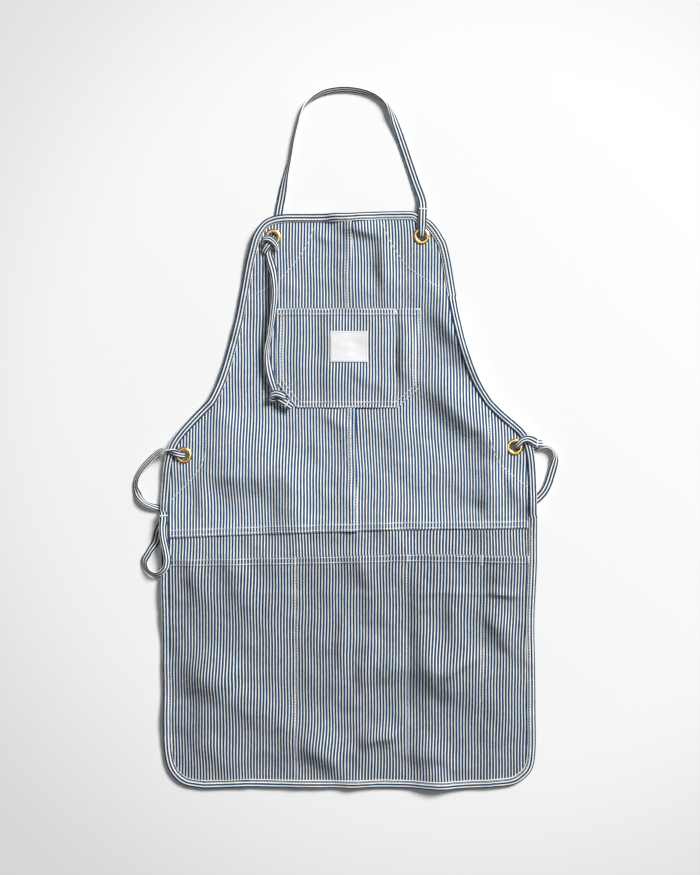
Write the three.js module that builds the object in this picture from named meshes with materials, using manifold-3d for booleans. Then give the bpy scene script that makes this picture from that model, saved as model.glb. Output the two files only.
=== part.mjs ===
// Bib apron of narrow striped cotton drill, lying open on a flat surface with its front up.
// Millimetres. X runs across the apron, Y from the hem to the neck, Z up from the surface.

import * as THREE from "three";
import { mergeVertices } from "three/addons/utils/BufferGeometryUtils.js";
import loadManifold from "manifold-3d";

const { smoothstep, lerp, clamp, degToRad } = THREE.MathUtils;

// Cloth layers, counted up from the cloth's lie over the surface
const CLOTH = 1.2;
const LAYER_GAP = 0.35;
const PATCH = { under: -0.45, thickness: 0.9 };
const BINDING = { width: 12.2, wall: 1.0, clearance: 0.7, fold: 1.4 };
const PANEL_UNDER = BINDING.wall + BINDING.clearance;
const SECOND_LAYER = CLOTH + LAYER_GAP;
const HEM_THICKNESS = 2.2;
const CUT_INSET = 2;
const BOUND_INSET = 14.5;

// Finished edge: x of the left and the right side at heights from the hem to the bib's corners
const EDGE = [
  { y: -511.5, left: -207, right: 211 },
  { y: -507.5, left: -231, right: 241 },
  { y: -497, left: -247, right: 259 },
  { y: -479, left: -259, right: 272 },
  { y: -450, left: -264.5, right: 276 },
  { y: -408, left: -265, right: 276 },
  { y: -366, left: -265, right: 276 },
  { y: -315, left: -266, right: 275 },
  { y: -264, left: -266.5, right: 274.5 },
  { y: -220, left: -267.5, right: 276.5 },
  { y: -185, left: -268, right: 278 },
  { y: -172, left: -268, right: 278 },
  { y: -134, left: -268.5, right: 278 },
  { y: -122, left: -268.5, right: 278 },
  { y: -98, left: -268.5, right: 277.5 },
  { y: -70, left: -267, right: 277 },
  { y: -35, left: -263, right: 275.5 },
  { y: -8, left: -255, right: 270.5 },
  { y: 13, left: -240.5, right: 259 },
  { y: 37, left: -218.5, right: 232 },
  { y: 48.5, left: -207, right: 220 },
  { y: 60, left: -197, right: 210 },
  { y: 90, left: -183.5, right: 192.5 },
  { y: 128, left: -172, right: 178 },
  { y: 171, left: -161, right: 167 },
  { y: 212, left: -153, right: 160 },
  { y: 252, left: -145.5, right: 153.5 },
  { y: 280, left: -138.5, right: 147 },
  { y: 293, left: -134.5, right: 140.5 },
  { y: 306, left: -127, right: 132 },
  { y: 316.5, left: -115, right: 121 },
];
const TOP_CORNER = { left: { x: -98, y: 322 }, right: { x: 104, y: 327 } };
const EDGE_STEPS = 12;
const ROUND_EDGE = { below: -470, above: 290 };

// Seams and pocket mouth, as heights across the apron
const WAIST_SEAM = [
  { x: -270, y: -145.5 },
  { x: -125, y: -139.5 },
  { x: 72, y: -133.5 },
  { x: 280, y: -131 },
];
const POCKET_MOUTH = [
  { x: -270, y: -175 },
  { x: -73, y: -172.5 },
  { x: 90, y: -168 },
  { x: 280, y: -171 },
];
const WAIST_LAP = 12;
const CENTRE_SEAM = { top: { x: -1.5, y: 325 }, foot: { x: 8, y: -137 }, halfWidth: 5.5 };

// Columns of the full-width panels, out from the centre seam; pocket dividers stand on three of them
const COLUMNS = {
  left: [-253, -225, -190, -150, -110, -73, -40],
  right: [50, 90, 125, 162, 198, 216, 235, 250, 263],
};
const SKIRT_SIDES = { left: -266, right: 275.5 };
const STRAIGHT_FROM = { left: -190, right: 198 };
const HEM_COLUMNS = [162, 125, 90, 50, 8, -40, -73, -110, -150];

const LOWER_POCKET = [
  { left: -247, right: -73, bulge: 9 },
  { left: -73, right: 90, bulge: 8.5 },
  { left: 90, right: 198, bulge: 8 },
  { left: 198, right: 260, bulge: 8.5 },
];
const LOWER_POCKET_FILL = { from: -492, to: -360 };
const LOWER_HEM = { left: -247, right: 257, depth: 11 };

const CHEST_POCKET = [
  { y: 44, left: -71, right: 76 },
  { y: 58, left: -82, right: 92 },
  { y: 72, left: -93.5, right: 108 },
  { y: 81, left: -100.5, right: 108 },
  { y: 108, left: -100.5, right: 108.5 },
  { y: 135, left: -100.5, right: 108.5 },
  { y: 160, left: -100.5, right: 108.5 },
  { y: 179, left: -100.5, right: 109 },
  { y: 188, left: -100.5, right: 109 },
];
const CHEST_SLOTS = [
  { left: -96, right: 73.5, bulge: 7 },
  { left: 73.5, right: 105, bulge: 8 },
];
const CHEST_COLUMNS = [0, 0.08, 0.2, 0.34, 0.48, 0.62, 0.75, 0.83, 0.91, 1];
const CHEST_FILL = { from: 52, to: 110 };
const CHEST_HEM_FROM = 180;
const LABEL = { x: 5.5, y: 132.5, width: 55, height: 44.5, thickness: 0.8 };

// Stitched outlines of the reinforcements behind the four corners
const CORNER_PATCHES = {
  bib_left: {
    side: "left",
    line: [[-44, 306], [-61.5, 271.5], [-95, 231], [-117, 216.5], [-134, 208]],
  },
  bib_right: {
    side: "right",
    line: [[53, 308], [66, 280.5], [78, 263], [92, 247], [115.5, 231], [143, 214]],
  },
  waist_left: {
    side: "left",
    line: [[-202, 32], [-203, -19], [-208.5, -38], [-217.5, -52.5], [-250, -87]],
  },
  waist_right: {
    side: "right",
    line: [[208, 30], [209, 0], [224.5, -38], [245, -56.5], [259, -69]],
  },
};

// Grommets: the cloth lies level around each one
const GROMMETS = {
  bib_left: { x: -105.7, y: 289 },
  bib_right: { x: 110.2, y: 292.4 },
  waist_left: { x: -234.3, y: -25 },
  waist_right: { x: 245.5, y: -13 },
};
const GROMMET = { hole: 6.1, barrel: 7.1, rim: 12, foot: -1.6, lie: 6.2, level: 18, fade: 75, sides: 12 };
const GROMMET_GAP = 0.45;

// Soft folds: each is a rounded ridge along a line
const FOLDS = [
  { line: [[140, 180], [204, 73]], width: 30, height: 4.5 },
  { line: [[140, 70], [198, 0], [201, -108]], width: 32, height: 5 },
  { line: [[-192, -47], [-80, -62]], width: 34, height: 4.5 },
  { line: [[8, 300], [58, 280], [58, 225]], width: 26, height: 3 },
  { line: [[10, -247], [24, -366]], width: 26, height: 3 },
  { line: [[-140, -340], [-120, -420]], width: 34, height: 4 },
  { line: [[-66, -442], [-20, -490]], width: 32, height: 4.5 },
  { line: [[28, -452], [72, -428]], width: 28, height: 3.5 },
  { line: [[112, -458], [120, -515]], width: 34, height: 6 },
  { line: [[100, -330], [150, -352]], width: 34, height: 3.5 },
];

// Cloth resting on the straps that run beneath it
const RIDERS = [
  { line: [[110, 345], [110, 292]], width: 30, height: 5 },
  { line: [[-97, 345], [-100, 306], [-105, 289]], width: 30, height: 5 },
  { line: [[-280, -19], [-236, -25]], width: 30, height: 5 },
  { line: [[288, -13], [248, -12]], width: 30, height: 5 },
  {
    line: [
      [-285, -98], [-268, -102], [-250, -109], [-232, -136],
      [-210, -205], [-190, -308], [-181, -432],
    ],
    width: 32,
    height: 5,
  },
  {
    line: [[290, -80], [279, -87], [256, -122], [236, -180], [230, -260], [229, -432]],
    width: 32,
    height: 5,
  },
  { line: [[-276, -136], [-262, -120]], width: 28, height: 5 },
];
const FLAT_CHEST = { left: -104, right: 112, low: 40, high: 192, fade: 45, lie: 1 };

// Folded tape of the straps, and the slimmer section that it takes in knots and grommets
const TAPE = { width: 12, thickness: 3, bevel: 0.9, steps: 2 };
const BUNCHED = { width: 5.6, thickness: 4.2 };
const KNOT = { radius: 2.9, bight: 8.1, overrun: 4.6 };

const STRIPE_BLUE = 0x5b6f8c;
const MATERIALS = {
  cloth: () => new THREE.MeshStandardMaterial({ color: STRIPE_BLUE, roughness: 0.9, metalness: 0 }),
  brass: () => new THREE.MeshStandardMaterial({ color: 0xb8913f, roughness: 0.32, metalness: 1 }),
  label: () => new THREE.MeshStandardMaterial({ color: 0xe9e7e0, roughness: 0.85, metalness: 0 }),
};

const wasm = await loadManifold();
wasm.setup();

// Curves and lines in plan

function heightAlong(line, x) {
  const last = line.length - 2;
  const found = line.findIndex((point, i) => i < line.length - 1 && x <= line[i + 1].x);
  const i = found < 0 ? last : found;
  const share = (x - line[i].x) / (line[i + 1].x - line[i].x);
  return lerp(line[i].y, line[i + 1].y, clamp(share, 0, 1));
}

const seamHeight = (x) => heightAlong(WAIST_SEAM, x);
const topHeight = (x) => heightAlong([TOP_CORNER.left, TOP_CORNER.right], x);
const mouthHeight = (x) => heightAlong(POCKET_MOUTH, x);

function centreSeamX(y) {
  const { top, foot } = CENTRE_SEAM;
  return lerp(foot.x, top.x, (y - foot.y) / (top.y - foot.y));
}

function distanceToLine(x, y, line) {
  let nearest = Infinity;
  for (let i = 0; i < line.length - 1; i += 1) {
    const [ax, ay] = line[i];
    const [bx, by] = line[i + 1];
    const dx = bx - ax;
    const dy = by - ay;
    const share = clamp(((x - ax) * dx + (y - ay) * dy) / (dx * dx + dy * dy), 0, 1);
    nearest = Math.min(nearest, Math.hypot(x - ax - share * dx, y - ay - share * dy));
  }
  return nearest;
}

const sideStations = (side) => [
  ...EDGE.map((row) => new THREE.Vector2(row[side], row.y)),
  new THREE.Vector2(TOP_CORNER[side].x, TOP_CORNER[side].y),
];

const SIDE_LINES = Object.fromEntries(["left", "right"].map((side) => {
  const stations = sideStations(side);
  return [side, new THREE.SplineCurve(stations).getPoints((stations.length - 1) * EDGE_STEPS)];
}));

// Unit vector into the cloth at point i of a line that runs up the left or the right side
function inwardAt(line, i, side) {
  const before = line[Math.max(i - 1, 0)];
  const after = line[Math.min(i + 1, line.length - 1)];
  const along = after.clone().sub(before).normalize();
  return side === "left" ? new THREE.Vector2(along.y, -along.x) : new THREE.Vector2(-along.y, along.x);
}

function insetLine(side, depth) {
  const line = SIDE_LINES[side];
  return line.map((point, i) => point.clone().addScaledVector(inwardAt(line, i, side), depth));
}

const CUT_LINES = { left: insetLine("left", CUT_INSET), right: insetLine("right", CUT_INSET) };
const BOUND_LINES = { left: insetLine("left", BOUND_INSET), right: insetLine("right", BOUND_INSET) };

function crossing(line, y) {
  const i = line.findIndex((point) => point.y >= y);
  if (i === 0) return line[0].x;
  if (i < 0) return line.at(-1).x;
  const share = (y - line[i - 1].y) / (line[i].y - line[i - 1].y);
  return lerp(line[i - 1].x, line[i].x, share);
}

// The cloth's lie over the surface

function ridge(x, y, { line, width, height }) {
  return height * Math.exp(-((distanceToLine(x, y, line) / width) ** 2));
}

function chestFlatness(x, y) {
  const dx = Math.max(FLAT_CHEST.left - x, 0, x - FLAT_CHEST.right);
  const dy = Math.max(FLAT_CHEST.low - y, 0, y - FLAT_CHEST.high);
  return 1 - smoothstep(Math.hypot(dx, dy), 0, FLAT_CHEST.fade);
}

function lie(x, y) {
  const folds = FOLDS.reduce((sum, fold) => sum + ridge(x, y, fold), 0);
  const eased = lerp(folds, FLAT_CHEST.lie, chestFlatness(x, y));
  const lifted = RIDERS.reduce((height, rider) => Math.max(height, ridge(x, y, rider)), eased);
  return Object.values(GROMMETS).reduce((height, { x: gx, y: gy }) => {
    const away = smoothstep(Math.hypot(x - gx, y - gy), GROMMET.level, GROMMET.fade);
    return lerp(Math.max(height, GROMMET.lie), height, away);
  }, lifted);
}

// Heights of the layers above the lie

function waistLapLift(x, y) {
  return SECOND_LAYER * (1 - smoothstep(y - seamHeight(x), WAIST_LAP + 2, WAIST_LAP + 22));
}

function centreLapLift(x, y) {
  const { halfWidth } = CENTRE_SEAM;
  return SECOND_LAYER * (1 - smoothstep(x - centreSeamX(y), halfWidth + 1, halfWidth + 16));
}

// A pocket's fullness: nothing along its seams, most in the middle of each compartment
function fullness(compartments, fill, x, y) {
  const found = compartments.find(({ left, right }) => x > left && x < right);
  if (!found) return 0;
  const across = (x - found.left) / (found.right - found.left);
  return found.bulge * (4 * across * (1 - across)) ** 0.75 * smoothstep(y, fill.from, fill.to);
}

const bibUnder = ({ x, y }) => lie(x, y) + PANEL_UNDER + waistLapLift(x, y);
const rightBibUnder = (point) => bibUnder(point) + centreLapLift(point.x, point.y);
const skirtUnder = ({ x, y }) => lie(x, y) + PANEL_UNDER;

function lowerPocketUnder({ x, y }) {
  return skirtUnder({ x, y }) + SECOND_LAYER + fullness(LOWER_POCKET, LOWER_POCKET_FILL, x, y);
}

function chestPocketUnder({ x, y }) {
  const seamRise = SECOND_LAYER * (1 - smoothstep(Math.abs(x - centreSeamX(y)), 26, 50));
  return bibUnder({ x, y }) + SECOND_LAYER + seamRise + fullness(CHEST_SLOTS, CHEST_FILL, x, y);
}

const labelUnder = (point) => chestPocketUnder(point) + CLOTH + LAYER_GAP;
const patchUnder = ({ x, y }) => Math.max(lie(x, y) + PATCH.under, 0.1);

// Underside of the binding's front leg: over one layer on the bib, over two on the skirt
function bindingFront(x, y) {
  const layers = SECOND_LAYER * (1 - smoothstep(y - seamHeight(x), WAIST_LAP + 20, WAIST_LAP + 60));
  const seamBump = y > 250 ? SECOND_LAYER * (1 - smoothstep(Math.abs(x - centreSeamX(y)), 14, 40)) : 0;
  return PANEL_UNDER + CLOTH + BINDING.clearance + layers + seamBump;
}

// Solids

function signedVolume(points, index) {
  let volume = 0;
  for (let i = 0; i < index.length; i += 3) {
    const [a, b, c] = [points[index[i]], points[index[i + 1]], points[index[i + 2]]];
    volume += a.dot(b.clone().cross(c)) / 6;
  }
  return volume;
}

function solidFrom(points, index) {
  const outward = signedVolume(points, index) > 0 ? index : index.toReversed();
  const geometry = new THREE.BufferGeometry();
  const coordinates = points.flatMap((point) => point.toArray());
  geometry.setAttribute("position", new THREE.Float32BufferAttribute(coordinates, 3));
  geometry.setIndex(outward);
  return geometry;
}

// Skins a row of rings that all have the same number of points; open rows get a cap at each end
function loft(rings, closed = false) {
  const size = rings[0].length;
  const index = [];
  const spans = closed ? rings.length : rings.length - 1;
  for (let i = 0; i < spans; i += 1) {
    const here = i * size;
    const next = ((i + 1) % rings.length) * size;
    for (let k = 0; k < size; k += 1) {
      const turn = (k + 1) % size;
      const corner = k < size / 2 ? here + k : here + turn;
      const opposite = k < size / 2 ? next + turn : next + k;
      index.push(here + k, here + turn, opposite, corner, next + turn, next + k);
    }
  }
  if (!closed) {
    const last = (rings.length - 1) * size;
    for (let k = 0; k < size / 2 - 1; k += 1) {
      const far = size - 1 - k;
      index.push(k, far, far - 1, k, far - 1, k + 1);
      index.push(last + k, last + far - 1, last + far, last + k, last + k + 1, last + far - 1);
    }
  }
  return solidFrom(rings.flat(), index);
}

// A layer of cloth over a grid of points in plan
function layer(grid, under, thickness = () => CLOTH) {
  return loft(grid.map((row) => {
    const below = row.map((p) => new THREE.Vector3(p.x, p.y, under(p)));
    const above = row.map((p, k) => new THREE.Vector3(p.x, p.y, below[k].z + thickness(p)));
    return [...above, ...below.reverse()];
  }));
}

function toManifold(geometry) {
  const bare = new THREE.BufferGeometry();
  bare.setAttribute("position", geometry.getAttribute("position").clone());
  bare.setIndex(geometry.getIndex());
  const merged = mergeVertices(bare, 1e-4);
  return new wasm.Manifold(new wasm.Mesh({
    numProp: 3,
    vertProperties: new Float32Array(merged.getAttribute("position").array),
    triVerts: new Uint32Array(merged.getIndex().array),
  }));
}

function fromManifold(solid) {
  const mesh = solid.getMesh();
  const geometry = new THREE.BufferGeometry();
  geometry.setAttribute("position", new THREE.Float32BufferAttribute(mesh.vertProperties, 3));
  geometry.setIndex(Array.from(mesh.triVerts));
  return geometry;
}

// Cuts the round hole that a grommet's barrel goes through
function pierced(geometry, { x, y }) {
  const radius = GROMMET.barrel + GROMMET_GAP;
  const punch = new THREE.CylinderGeometry(radius, radius, 60, 16);
  punch.rotateX(Math.PI / 2);
  punch.translate(x, y, 0);
  return fromManifold(toManifold(geometry).subtract(toManifold(punch)));
}

// Panels

function bibRow(y, side, heightAt = () => y) {
  const sign = side === "left" ? 1 : -1;
  const cut = crossing(CUT_LINES[side], y);
  const bound = sign * Math.max(sign * crossing(BOUND_LINES[side], y), sign * cut + 6);
  const seam = centreSeamX(y);
  const fixed = side === "left" ? COLUMNS.left : COLUMNS.right.toReversed();
  const start = fixed[0];
  const { halfWidth, foot } = CENTRE_SEAM;
  const inner = seam - sign * (halfWidth + 0.5);
  const end = foot.x - sign * (halfWidth + 0.5);
  const fanned = fixed.map((x) => lerp(bound, inner, (x - start) / (end - start)));
  const lap = seam + sign * (side === "left" ? halfWidth - 0.5 : halfWidth);
  const columns = [cut, ...fanned, inner, lap];
  const row = columns.map((x) => new THREE.Vector2(x, heightAt(x)));
  return side === "left" ? row : row.reverse();
}

const topRow = (side) => bibRow(TOP_CORNER[side].y - CUT_INSET, side, (x) => topHeight(x) - CUT_INSET);

function bibGrid(side) {
  const heights = EDGE.map(({ y }) => y).filter((y) => y > -110);
  const seamEnd = seamHeight(EDGE.find(({ y }) => y > -130)[side]);
  const rows = [0, WAIST_LAP - 1, WAIST_LAP + 22].map((offset) =>
    bibRow(seamEnd + offset, side, (x) => seamHeight(x) + offset));
  const clear = heights.filter((y) => y > rows.at(-1)[side === "left" ? 0 : rows[0].length - 1].y + 4);
  rows.push(...clear.map((y) => bibRow(y, side)));
  rows.push(topRow(side));
  return rows;
}

// Skirt columns stand straight, and only those beside the round hem corners lean in
function skirtRow(y, heightAt) {
  const cut = { left: crossing(CUT_LINES.left, y), right: crossing(CUT_LINES.right, y) };
  const { left, right } = SKIRT_SIDES;
  const columns = [left, ...COLUMNS.left, CENTRE_SEAM.foot.x, ...COLUMNS.right, right];
  return columns.map((x) => {
    const side = x < 0 ? "left" : "right";
    const [firm, wide] = [STRAIGHT_FROM[side], SKIRT_SIDES[side]];
    const beyond = side === "left" ? x < firm : x > firm;
    const placed = beyond ? lerp(cut[side], firm, (x - wide) / (firm - wide)) : x;
    return new THREE.Vector2(placed, heightAt ? heightAt(placed) : y);
  });
}

const HEM_ROWS = [EDGE[0].y + CUT_INSET, ...EDGE.slice(1).map(({ y }) => y).filter((y) => y <= -220)];

const hemRows = () => HEM_ROWS.map((y) => skirtRow(y));

function skirtGrid() {
  return [
    ...hemRows(),
    skirtRow(-185, (x) => mouthHeight(x) - 12),
    skirtRow(-172, (x) => mouthHeight(x)),
    skirtRow(-155, (x) => lerp(mouthHeight(x), seamHeight(x), 0.5)),
    skirtRow(-138, (x) => seamHeight(x)),
    skirtRow(-128, (x) => seamHeight(x) + WAIST_LAP - 1),
  ];
}

function lowerPocketGrid() {
  return [
    ...hemRows(),
    skirtRow(-185, (x) => mouthHeight(x) - 12),
    skirtRow(-184, (x) => mouthHeight(x) - LOWER_HEM.depth),
    skirtRow(-172, (x) => mouthHeight(x)),
  ];
}

function lowerPocketThickness({ x, y }) {
  const { left, right, depth } = LOWER_HEM;
  const hemmed = y > mouthHeight(x) - depth - 0.5 && x > left && x < right;
  return hemmed ? HEM_THICKNESS : CLOTH;
}

const chestPocketGrid = () => CHEST_POCKET.map(({ y, left, right }) =>
  CHEST_COLUMNS.map((share) => new THREE.Vector2(lerp(left, right, share), y)));

const chestPocketThickness = ({ y }) => (y > CHEST_HEM_FROM ? HEM_THICKNESS : CLOTH);

function labelGrid() {
  const steps = [0, 0.25, 0.5, 0.75, 1];
  return steps.map((v) => steps.map((u) => new THREE.Vector2(
    LABEL.x + (u - 0.5) * LABEL.width,
    LABEL.y + (v - 0.5) * LABEL.height,
  )));
}

// A corner patch fills the space between its stitched outline and the bound edge
function patchGrid({ side, line }) {
  const bound = BOUND_LINES[side];
  const nearest = ([x, y]) => {
    const distances = bound.map((point) => Math.hypot(point.x - x, point.y - y));
    return distances.indexOf(Math.min(...distances));
  };
  const outline = line.map(([x, y]) => new THREE.Vector3(x, y, 0));
  const inner = new THREE.CatmullRomCurve3(outline, false, "centripetal");
  const ends = [nearest(line[0]), nearest(line.at(-1))];
  const steps = 7;
  const shares = [0, 0.33, 0.67, 1];
  const rows = [];
  for (let i = 0; i <= steps; i += 1) {
    const from = inner.getPoint(i / steps);
    const to = bound[Math.round(lerp(ends[0], ends[1], i / steps))];
    const start = new THREE.Vector2(from.x, from.y);
    rows.push(shares.map((share) => start.clone().lerp(to, share)));
  }
  return rows;
}

// Edge binding: a folded strip around the whole outline

function bindingRing(point, inward) {
  const place = (depth, rise) => {
    const at = point.clone().addScaledVector(inward, depth);
    return new THREE.Vector3(at.x, at.y, lie(at.x, at.y) + rise(at));
  };
  const front = (at) => bindingFront(at.x, at.y);
  const { width, wall, fold } = BINDING;
  return [
    place(width, () => 0),
    place(0.8, () => 0),
    place(0, (at) => (front(at) + wall) / 2),
    place(0.8, (at) => front(at) + wall),
    place(width, (at) => front(at) + wall),
    place(width, front),
    place(fold, front),
    place(fold, () => wall),
    place(width, () => wall),
  ];
}

function edgeBinding() {
  const stations = { left: [], right: [] };
  for (const side of ["left", "right"]) {
    const line = SIDE_LINES[side];
    const addRing = (i) => stations[side].push(bindingRing(line[i], inwardAt(line, i, side)));
    for (let i = 0; i < line.length; i += EDGE_STEPS) {
      const half = i + EDGE_STEPS / 2;
      const round = line[i].y < ROUND_EDGE.below || line[i].y > ROUND_EDGE.above;
      addRing(i);
      if (round && i > 0 && half < line.length) addRing(half);
    }
  }
  const columns = [...topRow("left").slice(1, -1), ...topRow("right").slice(1, -1)];
  const [up, down] = [new THREE.Vector2(0, 1), new THREE.Vector2(0, -1)];
  const top = columns.map(({ x }) => bindingRing(new THREE.Vector2(x, topHeight(x)), down));
  const hem = HEM_COLUMNS.map((x) => bindingRing(new THREE.Vector2(x, EDGE[0].y), up));
  return loft([...stations.left, ...top, ...stations.right.reverse(), ...hem], true);
}

// Grommets

function grommet({ x, y }) {
  const { hole, barrel, rim, foot } = GROMMET;
  const seat = PANEL_UNDER + CLOTH + GROMMET_GAP;
  const profile = [
    [hole, foot + 0.3],
    [hole + 0.3, foot],
    [rim - 0.6, foot],
    [rim - 0.3, foot + 0.45],
    [rim - 0.6, foot + 0.9],
    [barrel, foot + 0.9],
    [barrel, seat],
    [rim - 0.5, seat],
    [rim, seat + 0.6],
    [rim - 1.2, seat + 1.5],
    [rim - 3, seat + 1.85],
    [barrel, seat + 1.3],
    [hole, seat],
    [hole, foot + 0.3],
  ].map(([radius, height]) => new THREE.Vector2(radius, height));
  const geometry = new THREE.LatheGeometry(profile, GROMMET.sides);
  geometry.deleteAttribute("normal");
  geometry.deleteAttribute("uv");
  geometry.rotateX(Math.PI / 2);
  geometry.translate(x, y, lie(x, y));
  return mergeVertices(geometry, 1e-4);
}

// Straps: each station gives the tape's middle and the lean of its face from straight up
// away from the strap's own centre, or towards a given direction.

const tapeStation = (centre, { x, y, z, lean = 0, toward, section = TAPE }) => {
  const away = toward ? new THREE.Vector2(...toward) : new THREE.Vector2(x - centre[0], y - centre[1]);
  away.normalize();
  const angle = degToRad(lean);
  const face = new THREE.Vector3(away.x * Math.sin(angle), away.y * Math.sin(angle), Math.cos(angle));
  return { at: new THREE.Vector3(x, y, z), face, width: section.width, thickness: section.thickness };
};

// An overhand knot: two strands twisted by three half turns, and the bight that joins them outside
function overhandKnot(from, to, bightSide) {
  const start = new THREE.Vector3(...from);
  const axis = new THREE.Vector3(...to).sub(start);
  const length = axis.length();
  axis.normalize();
  const out = new THREE.Vector3(...bightSide);
  out.addScaledVector(axis, -out.dot(axis)).normalize();
  const across = axis.clone().cross(out);
  const spot = (along, radius, angle) => {
    const radial = out.clone().multiplyScalar(Math.cos(angle)).addScaledVector(across, Math.sin(angle));
    const at = start.clone().addScaledVector(axis, along).addScaledVector(radial, radius);
    return { at, face: radial, width: BUNCHED.width, thickness: BUNCHED.thickness };
  };
  const strand = (firstAngle) => Array.from({ length: 7 }, (_, k) =>
    spot((length * k) / 6, KNOT.radius, firstAngle + (k * Math.PI) / 2));
  const bight = [
    spot(length + KNOT.overrun, KNOT.radius + 2.2, 0),
    spot(length * 0.78, KNOT.bight, -0.22),
    spot(length * 0.22, KNOT.bight, 0.22),
    spot(-KNOT.overrun, KNOT.radius + 2.2, 0),
  ];
  return [...strand(Math.PI), ...bight, ...strand(2 * Math.PI)];
}

function tapeRing(at, along, face, width, thickness) {
  const normal = face.clone().addScaledVector(along, -face.dot(along)).normalize();
  const across = along.clone().cross(normal);
  const bevel = Math.min(TAPE.bevel, width / 3);
  const corners = [
    [-width / 2 + bevel, thickness / 2],
    [width / 2 - bevel, thickness / 2],
    [width / 2, 0],
    [width / 2 - bevel, -thickness / 2],
    [-width / 2 + bevel, -thickness / 2],
    [-width / 2, 0],
  ];
  return corners.map(([u, v]) => at.clone().addScaledVector(across, u).addScaledVector(normal, v));
}

function tape(stations) {
  const { steps } = TAPE;
  const curve = new THREE.CatmullRomCurve3(stations.map(({ at }) => at), false, "centripetal");
  const count = (stations.length - 1) * steps;
  const rings = [];
  for (let i = 0; i <= count; i += 1) {
    const place = i / steps;
    const low = Math.min(Math.floor(place), stations.length - 2);
    const share = place - low;
    const [here, next] = [stations[low], stations[low + 1]];
    const face = here.face.clone().lerp(next.face, share);
    const width = lerp(here.width, next.width, share);
    const thickness = lerp(here.thickness, next.thickness, share);
    rings.push(tapeRing(curve.getPoint(i / count), curve.getTangent(i / count), face, width, thickness));
  }
  return loft(rings);
}

// The tape's way through a grommet: under the cloth, up the hole and out over the front
const THROUGH = { width: 8, thickness: 3.6 };

const NECK_CENTRE = [0, 400];
const NECK_START = [
  { x: 110.5, y: 341, z: 1.7 },
  { x: 110.2, y: 326, z: 1.7 },
  { x: 110.2, y: 306, z: 2, section: { width: 10, thickness: 3 } },
  { x: 110.2, y: 298, z: 2.3, section: THROUGH, lean: 15, toward: [0, 1] },
  { x: 110.2, y: 293.4, z: 5.2, section: THROUGH, lean: 65, toward: [0, 1] },
  { x: 110.2, y: 292.4, z: 8.8, section: THROUGH, lean: 90, toward: [0, 1] },
  { x: 110.2, y: 294.4, z: 13.2, section: THROUGH, lean: 120, toward: [0, 1] },
  { x: 110.2, y: 300, z: 15.2, section: THROUGH, lean: 165, toward: [0, 1] },
  { x: 110.2, y: 308, z: 15, section: { width: 10, thickness: 3 }, lean: 180, toward: [0, 1] },
  { x: 110.4, y: 322, z: 13.6, lean: 180, toward: [0, 1] },
  { x: 111, y: 334, z: 8.6, lean: 180, toward: [0, 1] },
  { x: 112.5, y: 346, z: 4.6, lean: 170 },
  { x: 105.3, y: 372, z: 5.2, lean: 145 },
  { x: 95, y: 398, z: 5.2, lean: 140 },
  { x: 85, y: 431, z: 5, lean: 140 },
  { x: 74.8, y: 463, z: 5.4, lean: 132 },
  { x: 57.5, y: 489.5, z: 5.6, lean: 125 },
  { x: 28, y: 504, z: 5.8, lean: 122 },
  { x: -1, y: 508, z: 5.8, lean: 120 },
  { x: -30, y: 504, z: 5.8, lean: 122 },
  { x: -54.5, y: 489.5, z: 5.6, lean: 128 },
  { x: -70.5, y: 464.5, z: 5.2, lean: 135 },
  { x: -80.5, y: 418, z: 4.6, lean: 145 },
  { x: -86.5, y: 386, z: 4, lean: 150 },
  { x: -94, y: 353, z: 2.4, lean: 165 },
  { x: -97, y: 326, z: 1.7, lean: 180 },
  { x: -100.5, y: 306, z: 2, lean: 180, section: { width: 10, thickness: 3 } },
  { x: -105, y: 295.4, z: 2.1, section: THROUGH, lean: 165, toward: [0, -1] },
  { x: -105.6, y: 289.8, z: 5, section: THROUGH, lean: 115, toward: [0, -1] },
  { x: -105.7, y: 289, z: 8.2, section: THROUGH, lean: 90, toward: [0, -1] },
  { x: -106, y: 287.2, z: 12.6, section: BUNCHED, lean: 135, toward: [0, -1] },
];
const STOPPER = { from: [-107, 280, 17.2], to: [-111, 261.5, 16], bight: [-0.5, 0, 1] };
const NECK_TAIL = [
  { x: -110.5, y: 254, z: 12, lean: 180, section: { width: 8, thickness: 3.4 } },
  { x: -106, y: 243, z: 12.6, lean: 180 },
  { x: -102.4, y: 229, z: 13, lean: 180 },
  { x: -101.5, y: 209, z: 12.4, lean: 180 },
  { x: -104.5, y: 179, z: 11, lean: 180 },
  { x: -109.5, y: 148, z: 9.6, lean: 180 },
  { x: -113.5, y: 127.5, z: 9, lean: 180 },
  { x: -112.5, y: 107, z: 9, lean: 180 },
  { x: -108.5, y: 88, z: 8.4, lean: 180, section: { width: 8, thickness: 3.4 } },
];
const END_KNOT = { from: [-106, 77, 11.2], to: [-98, 60.5, 11.2], bight: [-0.3, 0, 1] };
const NECK_STUB = [
  { x: -93.5, y: 53, z: 8, lean: 180, section: { width: 9, thickness: 3.2 } },
  { x: -87, y: 47.5, z: 7.4, lean: 180 },
  { x: -79, y: 41, z: 7.2, lean: 180 },
];

function neckStrap() {
  const lay = (rows) => rows.map((row) => tapeStation(NECK_CENTRE, row));
  return tape([
    ...lay(NECK_START),
    ...overhandKnot(STOPPER.from, STOPPER.to, STOPPER.bight),
    ...lay(NECK_TAIL),
    ...overhandKnot(END_KNOT.from, END_KNOT.to, END_KNOT.bight),
    ...lay(NECK_STUB),
  ]);
}

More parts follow.
